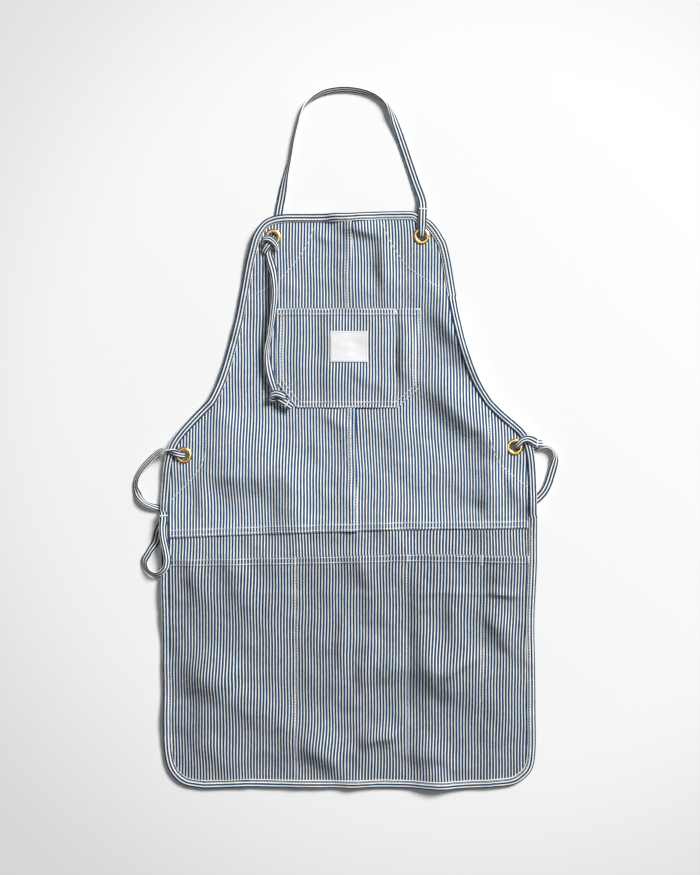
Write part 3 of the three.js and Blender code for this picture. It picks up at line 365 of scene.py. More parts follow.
# Steps and sections of the fine meshes
CLOTH_STEP = 2.6
FINE_STEP, LEAST_STEP = 0.9, 0.3
TAPE_STEPS = 8
TAPE_SIDES = 24
TAPE_SQUARENESS = 0.55
TACK_WIDTH, TACK_STEP, TACK_RISE = 2.3, 0.62, 0.1
STRAP_TACK_REACH, STRAP_TACK_RISE, STRAP_TACK_DIP, STRAP_TACK_ROUND = 0.46, 0.15, 0.9, 5
UPPER_PULL = 0.05
GROMMET_SIDES = 72
SHARP_ANGLE = 40
STITCH_SIDES = 6
STITCH_RINGS = [(0, 0.5, -0.3), (0.14, 0.9, 0.14), (0.5, 1, 0.3), (0.86, 0.9, 0.14), (1, 0.5, -0.3)]

# Rows of stitches and bar tacks
SEAM_ROWS = (-2.9, 4.3)
CHEST_THREAD, DIVIDER_THREAD, BINDING_THREAD, TACK_THREAD, CORNER_THREAD = 1.3, 0.6, 0.75, 0.8, 0.9
WAIST_ROWS, ROW_ENDS, ROW_POINTS, SEAM_ROW_TOP = (2.6, 10), (-254.5, 264), 300, 311
ROW_START, ROW_STEP = 0.5, 2
UNEVEN = ((0.14, 1.7, 0), (0.1, 0.61, 1))
MOUTH_ROWS = (2.3, 9.6)
DIVIDER_ROWS, DIVIDER_FOOT = [(-74.1, 0.72), (-71.9, 0.72), (90, 0.5), (198, 0.6)], -498
DIVIDER_TACKS = [((-73, -172), (-73, -186.5)), ((90, -168.5), (90, -180)), ((198, -170.5), (198, -185))]
CHEST_SEAMS = [
    [(-98.9, 186.2), (-98.9, 81.7), (-70.2, 45.6), (75.3, 45.6), (106.6, 72.8), (107.4, 186.2),
     (-98.9, 186.2)],
    [(-98.9, 179.6), (101, 179.6), (100.2, 76), (72.9, 52.2), (-67, 52.2), (-92.5, 84.4), (-92.5, 179.6)],
]
CHEST_DIVIDER = [(73.5, 186), (73.5, 46)]
CHEST_TACKS = [((-100, 186.6), (-92, 186.6)), ((101, 186.8), (108.6, 186.8)), ((72, 185), (74.5, 177.5))]
LABEL_SEAM = [(-20.2, 152.9), (31.2, 152.9), (31.2, 112.1), (-20.2, 112.1), (-20.2, 152.9)]


class ApronSizes(bpy.types.PropertyGroup):
    """Sizes of the cloth and its stitches."""

    stripe_pitch: FloatProperty(
        name="Stripe pitch", description="From one dark stripe to the next", default=0.00436, unit="LENGTH")
    stripe_share: FloatProperty(
        name="Dark share", description="Share of the pitch that is dark", default=0.64, subtype="FACTOR")
    cloth: FloatProperty(
        name="Cloth", description="Thickness of one layer of cloth", default=0.0009, unit="LENGTH")
    hem: FloatProperty(
        name="Folded hem", description="Thickness of a folded edge", default=0.0019, unit="LENGTH")
    stitch: FloatProperty(name="Stitch", description="Length of one stitch", default=0.0032, unit="LENGTH")
    stitch_gap: FloatProperty(
        name="Stitch gap", description="Gap between two stitches", default=0.0009, unit="LENGTH")
    thread: FloatProperty(
        name="Thread", description="Thickness of the thread", default=0.00105, unit="LENGTH")


class ApronColours(bpy.types.PropertyGroup):
    """Colours of the cloth, thread and metal."""

    indigo: FloatVectorProperty(
        name="Indigo", description="Dark stripe", subtype="COLOR", default=(0.013, 0.054, 0.126))
    off_white: FloatVectorProperty(
        name="Off-white", description="Light stripe", subtype="COLOR", default=(0.884, 0.877, 0.827))
    thread: FloatVectorProperty(
        name="Thread", description="Sewing thread", subtype="COLOR", default=(0.80, 0.80, 0.80))
    brass: FloatVectorProperty(
        name="Brass", description="Pressed brass", subtype="COLOR", default=(0.89, 0.63, 0.25))
    label: FloatVectorProperty(
        name="Label", description="Blank woven label", subtype="COLOR", default=(0.745, 0.75, 0.765))
    floor: FloatVectorProperty(
        name="Floor", description="Pale floor", subtype="COLOR", default=(0.765, 0.765, 0.767))


class ApronStage(bpy.types.PropertyGroup):
    """Light and camera."""

    key_power: FloatProperty(name="Key light", description="Power of the key light in watts", default=2960)
    key_size: FloatProperty(name="Key size", description="Side of the key light", default=4.4, unit="LENGTH")
    top_power: FloatProperty(name="Top light", description="Power of the light above in watts", default=28)
    top_size: FloatProperty(
        name="Top size", description="Side of the light above", default=1.5, unit="LENGTH")
    fill: FloatProperty(name="Fill", description="Strength of the soft light all round", default=0.1)
    lens: FloatProperty(name="Lens", description="Focal length in millimetres", default=60)
    camera_height: FloatProperty(
        name="Camera height", description="Height of the camera over the table", default=2.123, unit="LENGTH")
    aim: FloatVectorProperty(
        name="Aim", description="Point of the plan under the camera", size=2, default=(0.0054, 0.00055))


def settings(group):
    return getattr(bpy.context.scene, "apron_" + group)


# Curves and lines in plan

def smoothstep(value, low, high):
    share = np.clip((value - low) / (high - low), 0, 1)
    return share * share * (3 - 2 * share)


def falling(value, low, high):
    return 1 - smoothstep(value, low, high)


def lerp(start, end, share):
    return start + (end - start) * share


def height_along(line, x):
    return np.interp(x, [point[0] for point in line], [point[1] for point in line])


def seam_height(x):
    return height_along(WAIST_SEAM, x)


def mouth_height(x):
    return height_along(POCKET_MOUTH, x)


def top_height(x):
    return height_along([TOP_CORNER["left"], TOP_CORNER["right"]], x)


def centre_seam_x(y):
    return lerp(SEAM_FOOT[0], SEAM_TOP[0], (y - SEAM_FOOT[1]) / (SEAM_TOP[1] - SEAM_FOOT[1]))


def hermite(start, end, leave, arrive, steps):
    share = (np.arange(steps) / steps)[:, None]
    cubic = (2 * start - 2 * end + leave + arrive) * share ** 3
    return cubic + (3 * end - 3 * start - 2 * leave - arrive) * share ** 2 + leave * share + start


def edge_curve(points, steps):
    """Uniform Catmull-Rom curve through the points."""
    row = np.asarray(points, float)
    padded = np.vstack([row[:1], row, row[-1:]])
    spans = zip(padded, padded[1:], padded[2:], padded[3:])
    pieces = [hermite(b, c, (c - a) / 2, (d - b) / 2, steps) for a, b, c, d in spans]
    return np.vstack([*pieces, row[-1:]])


def strap_curve(points, steps):
    """Centripetal Catmull-Rom curve through the points, which keeps tight bends from overshooting."""
    row = np.asarray(points, float)
    padded = np.vstack([2 * row[0] - row[1], row, 2 * row[-1] - row[-2]])
    pieces = []
    for a, b, c, d in zip(padded, padded[1:], padded[2:], padded[3:]):
        before, here, after = (math.sqrt(np.linalg.norm(q - p)) for p, q in ((a, b), (b, c), (c, d)))
        leave = ((b - a) / before - (c - a) / (before + here)) * here + (c - b)
        arrive = (c - b) + ((d - c) / after - (d - b) / (here + after)) * here
        pieces.append(hermite(b, c, leave, arrive, steps))
    return np.vstack([*pieces, row[-1:]])


def unit(vectors):
    return vectors / np.linalg.norm(vectors, axis=-1, keepdims=True)


def lengths_along(points):
    """How far along a line each of its points is."""
    return np.concatenate([[0], np.cumsum(np.linalg.norm(np.diff(points, axis=0), axis=1))])


def resampled(points, step):
    """The same line with its points evenly spaced."""
    row = np.asarray(points, float)
    along = lengths_along(row)
    count = max(int(round(along[-1] / step)), 1)
    places = np.linspace(0, along[-1], count + 1)
    return np.stack([np.interp(places, along, row[:, k]) for k in range(row.shape[1])], axis=1)


def side_line(side):
    stations = [(getattr(row, side), row.y) for row in EDGE] + [TOP_CORNER[side]]
    return edge_curve(stations, EDGE_STEPS)


def inset(line, side, depth):
    along = unit(np.gradient(line, axis=0))
    sign = 1 if side == "left" else -1
    return line + depth * sign * np.stack([along[:, 1], -along[:, 0]], axis=1)


def crossing(line, y):
    return np.interp(y, np.maximum.accumulate(line[:, 1]), line[:, 0])


SIDE_LINES = {side: side_line(side) for side in ("left", "right")}
CUT_LINES = {side: inset(line, side, CUT_INSET) for side, line in SIDE_LINES.items()}
BOUND_LINES = {side: inset(line, side, BOUND_INSET) for side, line in SIDE_LINES.items()}


# Heights of the cloth

def ridge(x, y, crease, fade=0):
    """Height of a ridge along a line; fade is the share of its length in which it rises at its ends."""
    nearest = np.full(np.broadcast(x, y).shape, np.inf)
    side, place = np.zeros(nearest.shape), np.zeros(nearest.shape)
    travelled = 0
    for (ax, ay), (bx, by) in zip(crease.line, crease.line[1:]):
        dx, dy = bx - ax, by - ay
        length = math.hypot(dx, dy)
        share = np.clip(((x - ax) * dx + (y - ay) * dy) / length ** 2, 0, 1)
        off_x, off_y = x - ax - share * dx, y - ay - share * dy
        gap = np.hypot(off_x, off_y)
        left = (dx * off_y - dy * off_x) / length / np.maximum(gap, 1e-6)
        side = np.where(gap < nearest, left, side)
        place = np.where(gap < nearest, travelled + share * length, place)
        nearest = np.minimum(gap, nearest)
        travelled += length
    width = lerp(crease.dark, crease.lit, (1 + side) / 2)
    height = crease.height * np.exp(-(nearest / width) ** 2)
    if fade:
        inside = smoothstep(np.minimum(place, travelled - place), 0, fade * travelled)
        height = height * lerp(CREASE_ENDS, 1, inside)
    return height


def folds(x, y):
    """The creases' heights, along lines that wander a little."""
    u, v = (at + CREASE_WANDER * rumple(x, y, CREASE_CELL, seed) for at, seed in zip((x, y), CREASE_SEEDS))
    return CREASE_DEPTH * sum(ridge(u, v, crease, CREASE_FADE) for crease in CREASES)


def rumple(x, y, cell, seed):
    """Seeded random heights on a grid of cells, blended smoothly in between."""
    grid = np.random.default_rng(seed).standard_normal((RUMPLE_GRID, RUMPLE_GRID))
    u, v = x / cell + RUMPLE_GRID / 2, y / cell + RUMPLE_GRID / 2
    i, j = np.floor(u).astype(int), np.floor(v).astype(int)
    a, b = smoothstep(u - i, 0, 1), smoothstep(v - j, 0, 1)
    return lerp(lerp(grid[i, j], grid[i + 1, j], a), lerp(grid[i, j + 1], grid[i + 1, j + 1], a), b)


def unevenness(x, y):
    """Slow and quick waves of cloth that has been folded and smoothed out again by hand."""
    total = np.zeros(np.broadcast(x, y).shape)
    for cell, height, turn, seed in RUMPLES:
        c, s = math.cos(math.radians(turn)), math.sin(math.radians(turn))
        total = total + height * rumple(c * x + s * y, c * y - s * x, cell, seed)
    return total


def puckers(x, y):
    """Small gathers that the stitching draws into the seams, the pocket mouth and the bound edge."""
    def gather(along, away, height):
        wave = np.sin(along / 2.6 + 1.7 * np.sin(along / 19)) + 0.6 * np.sin(along / 5.3 + 0.8)
        return height * (0.8 + 0.5 * wave) * np.exp(-(away / PUCKER_REACH) ** 2)

    side = np.minimum(x - crossing(SIDE_LINES["left"], y), crossing(SIDE_LINES["right"], y) - x)
    total = gather(y, side - BOUND_GATHER, SIDE_PUCKER)
    for depth in (y - EDGE[0].y, top_height(x) - y):
        total = total + gather(x, depth - BOUND_GATHER, SEAM_PUCKER)
    total = total + gather(x + WAIST_PHASE, y - seam_height(x) - WAIST_GATHER, SEAM_PUCKER)
    total = total + gather(x, y - mouth_height(x) + MOUTH_GATHER, MOUTH_PUCKER)
    return total + gather(y, x - centre_seam_x(y), SEAM_PUCKER) * (y > SEAM_FOOT[1])


def lie(x, y):
    """Height of the cloth over the table: folds, calmer under the chest pocket, lifted by straps beneath."""
    dx = np.maximum(np.maximum(CHEST_FLAT_X[0] - x, x - CHEST_FLAT_X[1]), 0)
    dy = np.maximum(np.maximum(CHEST_FLAT_Y[0] - y, y - CHEST_FLAT_Y[1]), 0)
    clear = smoothstep(np.hypot(dx, dy), 0, CHEST_FADE)
    height = folds(x, y) * lerp(CHEST_FOLDS, 1, clear) + unevenness(x, y) * lerp(CHEST_WAVES, 1, clear)
    height = TABLE_SOFTNESS * np.logaddexp(0, (height + LIE_LEVEL) / TABLE_SOFTNESS)
    lift = np.max([ridge(x, y, rider) for rider in RIDERS], axis=0)
    above = RIDER_SOFTNESS * np.logaddexp(0, (lift - height) / RIDER_SOFTNESS)
    height = height + above * smoothstep(lift, 0, RIDER_BLEND) + puckers(x, y)
    for gx, gy in GROMMETS.values():
        away = smoothstep(np.hypot(x - gx, y - gy), GROMMET_LEVEL, GROMMET_FADE)
        height = lerp(np.maximum(height, GROMMET_LIE), height, away)
    return height


def fullness(compartments, fill, x, y):
    """A pocket's fullness: nothing along its seams, most in the middle of each compartment."""
    total = np.zeros(np.broadcast(x, y).shape)
    for left, right, bulge in compartments:
        across = np.clip((x - left) / (right - left), 0, 1)
        total = total + bulge * (4 * across * (1 - across)) ** FULLNESS_ROUND
    waves = unevenness(x + FULLNESS_OFFSET[0], y + FULLNESS_OFFSET[1])
    return FULLNESS * total * smoothstep(y, *fill) * (1 + FULLNESS_WAVES * waves)


def bib_under(x, y):
    return lie(x, y) + PANEL_UNDER + SECOND_LAYER * falling(y - seam_height(x), *WAIST_LAP_FADE)


def left_bib_under(x, y):
    return bib_under(x, y) + SECOND_LAYER * falling(centre_seam_x(y) - x, *CENTRE_LAP_FADE)


def skirt_under(x, y):
    return lie(x, y) + PANEL_UNDER


def lower_pocket_under(x, y):
    return skirt_under(x, y) + SECOND_LAYER + fullness(LOWER_POCKET, LOWER_FILL, x, y)


def chest_pocket_under(x, y):
    rise = SECOND_LAYER * falling(np.abs(x - centre_seam_x(y)), *CHEST_SEAM_FADE)
    loose = sum(ridge(x, y, crease) for crease in CHEST_CREASES)
    return bib_under(x, y) + SECOND_LAYER + rise + loose + fullness(CHEST_SLOTS, CHEST_FILL, x, y)


def label_under(x, y):
    return chest_pocket_under(x, y) + CLOTH_WALL + 2 * LAYER_GAP


def patch_under(x, y):
    return np.maximum(lie(x, y) + PATCH_UNDER, PATCH_LOWEST)


def binding_front(x, y):
    """Underside of the binding's front leg over the lie: over one layer on the bib, over two on the skirt."""
    layers = SECOND_LAYER * falling(y - seam_height(x), *BINDING_LAP_FADE)
    bump = SECOND_LAYER * falling(np.abs(x - centre_seam_x(y)), *BINDING_SEAM_FADE) * (y > BINDING_SEAM_FOOT)
    return PANEL_UNDER + CLOTH_WALL + BINDING_CLEARANCE + layers + bump


# Placing the plan in the model's frame

def plan_shift():
    low, high = (np.array(corner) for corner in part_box("label_patch"))
    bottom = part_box("edge_binding")[0][2]
    middle = (low + high) / 2
    return np.array([middle[0] - LABEL_CENTRE[0] * MM, middle[1] - LABEL_CENTRE[1] * MM, bottom])


SHIFT = plan_shift()


def placed(points):
    """Plan points in the model's frame, with the hem and the top edge as wavy as they lie."""
    points = np.array(points, float)
    x, y = points[:, 0].copy(), points[:, 1].copy()
    points[:, 1] += height_along(HEM_WAVE, x) * falling(y, *HEM_WAVE_FADE)
    points[:, 1] += height_along(TOP_WAVE, x) * smoothstep(y, *TOP_WAVE_RISE) * falling(y, *TOP_WAVE_FADE)
    return points * MM + SHIFT


# Meshes

def new_piece(name, points, faces, material, replaces=(), cut=None):
    """A smooth mesh object from plan points, with the cloth's cut coordinates as its UV map."""
    mesh = bpy.data.meshes.new(name)
    mesh.from_pydata(placed(points).tolist(), [], [tuple(int(i) for i in face) for face in faces])
    if cut is not None:
        layer = mesh.uv_layers.new(name="cut")
        corners = np.empty(len(mesh.loops), dtype=np.int32)
        mesh.loops.foreach_get("vertex_index", corners)
        layer.data.foreach_set("uv", (np.asarray(cut)[corners] * MM).astype(np.float32).ravel())
    mesh.shade_smooth()
    mesh.set_sharp_from_angle(angle=math.radians(SHARP_ANGLE))
    mesh.validate()
    mesh.materials.append(material)
    piece = bpy.data.objects.new(name, mesh)
    bpy.context.scene.collection.objects.link(piece)
    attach(piece, BODY)
    if replaces:
        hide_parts(*replaces)
    return piece


def cell_corners(grid):
    """The four corners of each cell of a grid, in order round the cell."""
    return grid[:-1, :-1], grid[:-1, 1:], grid[1:, 1:], grid[1:, :-1]


def tube_faces(rings, sides, closed):
    """Faces between rings of points; closed also joins the last ring to the first."""
    index = np.arange(rings * sides).reshape(rings, sides)
    here = index if closed else index[:-1]
    there = np.roll(index, -1, axis=0)[:len(here)]
    quads = [here, np.roll(here, -1, axis=1), np.roll(there, -1, axis=1), there]
    return np.stack(quads, axis=-1).reshape(-1, 4)


def layer_faces(rows, columns, keep):
    """Faces of a closed sheet whose top grid is followed by its bottom grid, in the cells to keep."""
    index = np.arange(rows * columns).reshape(rows, columns)
    quads = np.stack(cell_corners(index), axis=-1).reshape(-1, 4)
    quads = quads[keep.reshape(-1)]
    edges = np.concatenate([quads[:, [k, (k + 1) % 4]] for k in range(4)])
    _, first, count = np.unique(np.sort(edges, axis=1), axis=0, return_index=True, return_counts=True)
    rim = edges[first[count == 1]]
    below = rows * columns
    walls = np.stack([rim[:, 1], rim[:, 0], rim[:, 0] + below, rim[:, 1] + below], axis=-1)
    return np.concatenate([quads, quads[:, ::-1] + below, walls])


def sheet_piece(name, x, y, layer, cloth, node, grain=0, holes=(),
                slant=0):
    """A closed sheet of cloth over a grid in plan; holes are the grommets that go through it."""
    rows, columns = x.shape
    under, thickness = layer
    top = np.stack([x, y, under + thickness], axis=-1).reshape(-1, 3)
    bottom = np.stack([x, y, under], axis=-1).reshape(-1, 3)
    middle_x = (x[:-1, :-1] + x[1:, 1:]) / 2
    middle_y = (y[:-1, :-1] + y[1:, 1:]) / 2
    keep = np.ones(middle_x.shape, bool)
    for gx, gy in holes:
        keep &= np.hypot(middle_x - gx, middle_y - gy) > GROMMET_CUT
    used, faces = np.unique(layer_faces(rows, columns, keep), return_inverse=True)
    points = np.concatenate([top, bottom])[used]
    cut = points[:, :2] - (grain, 0) + stripe_drift(points[:, 0], points[:, 1])
    cut[:, 0] -= slant * stripe_slant(points[:, 0], points[:, 1])
    piece = new_piece(name, points, faces.reshape(-1, 4), cloth, [node], cut)

    return piece


def stripe_drift(x, y):
    """How far the stripes wander sideways: they spread below the armholes, close in and follow the folds."""
    spread = SPREAD_RIGHT * smoothstep(x, *SPREAD_ACROSS) - SPREAD_LEFT * smoothstep(-x, *SPREAD_ACROSS)
    spread = spread * smoothstep(-y, *SPREAD_DOWN) * (1 - CLOSING * smoothstep(-y, *CLOSING_DOWN))
    wander = 0.45 * np.sin(y / 31 + x / 53) + 0.3 * np.sin(y / 12.5 + x / 23 + 2)
    sideways = FOLD_DRIFT * folds(x, y) + wander - spread
    return np.stack([sideways, np.zeros_like(sideways)], axis=-1)


def stripe_slant(x, y):
    """How far the right half's stripes lean away from the centre seam, below the top and the chest pocket."""
    upper = lerp(*SEAM_SLANT, smoothstep(x, *SLANT_ACROSS)) * (1 - np.exp((y - SEAM_TOP[1]) / SEAM_LEAN))
    return upper + LOWER_SLANT * smoothstep(-y, *LOWER_SLANT_DOWN) * falling(x, *LOWER_SLANT_ACROSS)


def spaced(low, high, step, dense=()):
    """Grid places from low to high, closer together inside the dense ranges."""
    places = list(np.linspace(low, high, max(math.ceil((high - low) / step), 1) + 1))
    for start, end in dense:
        places = [p for p in places if not start < p < end]
        count = math.ceil((end - start) / FINE_STEP) + 1
        places += list(np.linspace(max(start, low), min(end, high), count))
    places = np.unique(np.round(places, 3))
    wide = np.concatenate([[True], np.diff(places) > LEAST_STEP])
    return places[wide]


def folded_edge(under, thickness, away, radius=1.0):
    """Rounds a sheet off where it is folded over: away is the distance to the fold."""
    share = np.clip(away / radius, 0.02, 1)
    round_off = np.sqrt(1 - (1 - share) ** 2)
    return under + thickness * (1 - round_off) / 2, thickness * round_off


def hemmed(away, fade):
    """Thickness of cloth with a folded hem: away is the distance to the fold, and fade where the hem ends."""
    sizes = settings("sizes")
    return lerp(sizes.hem / MM, sizes.cloth / MM, smoothstep(away, *fade))


def top_of(layer):
    """The upper face of a layer, given as a function for its underside and thickness."""
    return lambda x, y: sum(layer(x, y))


# Materials

class Shading:
    """A new material, with short ways to add nodes to it."""

    def __init__(self, name):
        self.material = bpy.data.materials.new(name)
        self.material.use_nodes = True
        self.nodes, self.links = self.material.node_tree.nodes, self.material.node_tree.links

    def put(self, socket, value):
        """Set a socket to a number or a colour, or link it to another socket."""
        if isinstance(value, bpy.types.NodeSocket):
            self.links.new(value, socket)
        elif isinstance(value, (int, float)):
            socket.default_value = value
        else:
            socket.default_value = (*value, 1)

    def surface(self, **values):
        """Set the surface's inputs, named with underscores for spaces."""
        for name, value in values.items():
            self.put(self.nodes["Principled BSDF"].inputs[name.replace("_", " ")], value)

    def math(self, operation, *values):
        node = self.nodes.new("ShaderNodeMath")
        node.operation = operation
        for socket, value in zip(node.inputs, values):
            self.put(socket, value)
        return node.outputs[0]

    def scaled(self, value, factor, plus):
        return self.math("MULTIPLY_ADD", value, factor, plus)

    def wave(self, value, length):
        return self.math("SINE", self.math("MULTIPLY", value, 2 * math.pi / length))

    def step(self, value, low, high):
        node = self.nodes.new("ShaderNodeMapRange")
        node.interpolation_type = "SMOOTHSTEP"
        for name, setting in (("Value", value), ("From Min", low), ("From Max", high)):
            self.put(node.inputs[name], setting)
        return node.outputs["Result"]

    def noise(self, vector, scale, detail, stretch):
        mapping = self.nodes.new("ShaderNodeMapping")
        mapping.inputs["Scale"].default_value = (1, stretch, 1)
        self.links.new(vector, mapping.inputs["Vector"])
        node = self.nodes.new("ShaderNodeTexNoise")
        for name, setting in (("Vector", mapping.outputs[0]), ("Scale", scale), ("Detail", detail)):
            self.put(node.inputs[name], setting)
        return node.outputs["Fac"]

    def mix(self, share, first, second, blend="MIX"):
        node = self.nodes.new("ShaderNodeMix")
        node.data_type = "RGBA"
        node.blend_type = blend
        for socket, value in ((node.inputs[0], share), (node.inputs[6], first), (node.inputs[7], second)):
            self.put(socket, value)
        return node.outputs[2]

    def bump(self, height, strength, distance):
        node = self.nodes.new("ShaderNodeBump")
        for name, setting in (("Height", height), ("Strength", strength), ("Distance", distance)):
            self.put(node.inputs[name], setting)
        self.surface(Normal=node.outputs[0])

    def place(self):
        return self.nodes.new("ShaderNodeTexCoord").outputs["Object"]

    def cut(self):
        """The cloth's cut coordinates: both, across alone and along alone."""
        uv = self.nodes.new("ShaderNodeUVMap")
        uv.uv_map = "cut"
        split = self.nodes.new("ShaderNodeSeparateXYZ")
        self.links.new(uv.outputs[0], split.inputs[0])
        return uv.outputs[0], split.outputs[0], split.outputs[1]


def tinted(colour, factor):
    return tuple(factor * channel for channel in colour)


def striped_cloth(name, phase=0.0, depth=1.0, share_change=0.0, light=1.0):
    """Cotton drill with woven stripes: warp yarns, a fine twill, slubs, and indigo that varies in depth."""
    sizes, colours = settings("sizes"), settings("colours")
    cloth = Shading(name)
    uv, across, along = cloth.cut()
    noise = {kind: cloth.noise(uv, *row) for kind, row in CLOTH_NOISE.items()}

    waver = cloth.scaled(noise["waver"], STRIPE_WAVER, phase - STRIPE_WAVER / 2)
    turns = cloth.scaled(across, 1 / sizes.stripe_pitch, waver)
    ramp = cloth.math("ABSOLUTE", cloth.scaled(cloth.math("FRACT", turns), 2, -1))
    share = sizes.stripe_share + share_change
    stripe = cloth.step(ramp, share - STRIPE_BLUR, share + STRIPE_BLUR)

    twill = cloth.wave(cloth.scaled(along, TWILL_SLOPE, across), TWILL_PITCH)
    yarn = cloth.wave(across, YARN_PITCH)
    weave = cloth.scaled(yarn, YARN_SHARE, cloth.math("MULTIPLY", twill, TWILL_SHARE))
    patchy = cloth.scaled(noise["mottle"], MOTTLE_FADE, cloth.scaled(noise["cloud"], *CLOUD_FADE))
    fade = cloth.scaled(cloth.math("POWER", noise["fleck"], FLECK_POWER), FLECK_FADE, patchy)
    deep, worn = (tinted(colours.indigo, share * depth) for share in (INDIGO_DEEP, INDIGO_WORN))
    stripes = cloth.mix(stripe, cloth.mix(fade, deep, worn), tinted(colours.off_white, light))
    shade = cloth.scaled(weave, WEAVE_SHADE, cloth.scaled(noise["slub"], *SLUB_SHADE))
    tone = cloth.nodes.new("ShaderNodeCombineColor")
    for socket in tone.inputs[:3]:
        cloth.put(socket, shade)

    cloth.surface(Base_Color=cloth.mix(1.0, stripes, tone.outputs[0], "MULTIPLY"), Sheen_Weight=CLOTH_SHEEN,
                  Roughness=cloth.scaled(noise["slub"], *CLOTH_ROUGH), Specular_IOR_Level=CLOTH_GLOSS)
    cloth.bump(cloth.scaled(noise["slub"], SLUB_RELIEF, weave), *CLOTH_RELIEF)
    return cloth.material


def sewing_thread(name):
    """Twisted cotton thread."""
    cotton, colour = Shading(name), settings("colours").thread
    grain = cotton.noise(cotton.place(), *THREAD_GRAIN)
    cotton.surface(Base_Color=cotton.mix(grain, tinted(colour, DULL_THREAD), colour),
                   Roughness=cotton.scaled(grain, *THREAD_ROUGH))
    cotton.bump(grain, *THREAD_RELIEF)
    return cotton.material


def pressed_brass(name):
    """Pressed brass with a handled surface: dull patches and fine scratches."""
    metal, colour = Shading(name), settings("colours").brass
    place = metal.place()
    patina = metal.noise(place, *BRASS_PATINA)
    metal.surface(Base_Color=metal.mix(patina, tinted(colour, DULL_BRASS), colour), Metallic=1.0,
                  Roughness=metal.scaled(patina, *BRASS_ROUGH))
    metal.bump(metal.noise(place, *BRASS_SCRATCH), *BRASS_RELIEF)
    return metal.material


def woven_label(name):
    """Blank white woven label with a fine rib."""
    weft, colour = Shading(name), settings("colours").label
    uv, across, along = weft.cut()
    cloud = weft.noise(uv, *LABEL_CLOUD)
    weft.surface(Base_Color=weft.mix(cloud, tinted(colour, DULL_LABEL), colour),
                 Roughness=weft.scaled(cloud, *LABEL_ROUGH))
    ribs = weft.wave(along, RIB_PITCH)
    weft.bump(weft.scaled(weft.wave(across, WARP_PITCH), WARP_SHARE, ribs), *LABEL_RELIEF)
    return weft.material


def material(make, name, **options):
    return bpy.data.materials.get(name) or make(name, **options)


def striped(kind):
    return material(striped_cloth, kind + "_stripe", **CLOTHS[kind])


# Panels

def bib_plan(side):
    """Grid of one half of the bib, from the cut side to its lap under or over the other half."""
    sign = 1 if side == "left" else -1
    edge = CUT_LINES[side][np.searchsorted(CUT_LINES[side][:, 1], BIB_FOOT)][0]
    foot, head = seam_height(edge), TOP_CORNER[side][1] - CUT_INSET
    heights = spaced(foot, head, CLOTH_STEP, [(foot, foot + HEM_FADE[1])])[:, None]
    cut = crossing(CUT_LINES[side], heights)
    lap = centre_seam_x(heights) + sign * SEAM_HALF
    steps = spaced(0, BIB_REACH, CLOTH_STEP, [(0, 2 * SEAM_HALF)])[None, :]
    spread = (steps - BIB_NEAR) * (np.abs(lap - cut) - BIB_NEAR) / (BIB_REACH - BIB_NEAR)
    x = lap - sign * np.where(steps < BIB_NEAR, steps, BIB_NEAR + spread)
    foot_shift = (seam_height(x) - foot) * falling(heights, foot, foot + BIB_BLEND)
    head_shift = (top_height(x) - TOP_CORNER[side][1]) * smoothstep(heights, head - BIB_BLEND, head)
    y = heights + foot_shift + head_shift
    if side == "left":
        x, y = x[:, ::-1], y[:, ::-1]
    return x, y


def bib_layer(side, x, y):
    """Underside and thickness of one half of the bib, with its folded edges."""
    above = y - seam_height(x)
    under = left_bib_under(x, y) if side == "left" else bib_under(x, y)
    under, thickness = folded_edge(under, hemmed(above, HEM_FADE), above)
    if side == "left":
        beside = centre_seam_x(y) + SEAM_HALF - x
        under, thickness = folded_edge(under, np.maximum(thickness, hemmed(beside, HEM_FADE)), beside)
    return under, thickness


def bib_top(x, y):
    left, right = (sum(bib_layer(side, x, y)) for side in ("left", "right"))
    return np.where(x < centre_seam_x(y) + SEAM_HALF, left, right)


def bib_half(side):
    x, y = bib_plan(side)
    name = "bib_" + side
    holes = [GROMMETS[name], GROMMETS["waist_" + side]]
    return sheet_piece(name, x, y, bib_layer(side, x, y), striped("bib"), "bib_panel_" + side, GRAIN[name],
                       holes, slant=0 if side == "left" else 1)


def skirt_plan(heights, head):
    """Grid of a full-width panel: straight columns that lean in only beside the round hem corners."""
    fine = [(divider - DIVIDER_FINE, divider + DIVIDER_FINE) for divider in DIVIDERS]
    columns = spaced(SKIRT_SIDES["left"], SKIRT_SIDES["right"], CLOTH_STEP, fine)[None, :]
    rows, top = heights[:, None], heights[-1]
    x = np.repeat(columns, len(rows), axis=0)
    for side, sign in (("left", 1), ("right", -1)):
        edge, firm = SKIRT_SIDES[side], FIRM_SIDES[side]
        leaning = lerp(crossing(CUT_LINES[side], rows), firm, (columns - edge) / (firm - edge))
        x = np.where(sign * columns < sign * firm, leaning, x)
    return x, rows + (head(x) - top) * smoothstep(rows, top - SKIRT_BLEND, top)


def skirt():
    rows = spaced(EDGE[0].y + CUT_INSET, SKIRT_TOP, CLOTH_STEP)
    x, y = skirt_plan(rows, lambda across: seam_height(across) + WAIST_LAP - 1)
    layer = (skirt_under(x, y), settings("sizes").cloth / MM)
    return sheet_piece("skirt", x, y, layer, striped("skirt"), "skirt_panel")


def lower_pocket_layer(x, y):
    below = mouth_height(x) - y
    return folded_edge(lower_pocket_under(x, y), hemmed(below, HEM_FADE), below)


def lower_pocket():
    rows = spaced(EDGE[0].y + CUT_INSET, MOUTH_TOP, CLOTH_STEP, [(MOUTH_TOP - MOUTH_FINE, MOUTH_TOP)])
    x, y = skirt_plan(rows, mouth_height)
    layer = lower_pocket_layer(x, y)
    return sheet_piece("lower_pocket_cloth", x, y, layer, striped("pocket"), "lower_pocket",
                       GRAIN["lower_pocket"])


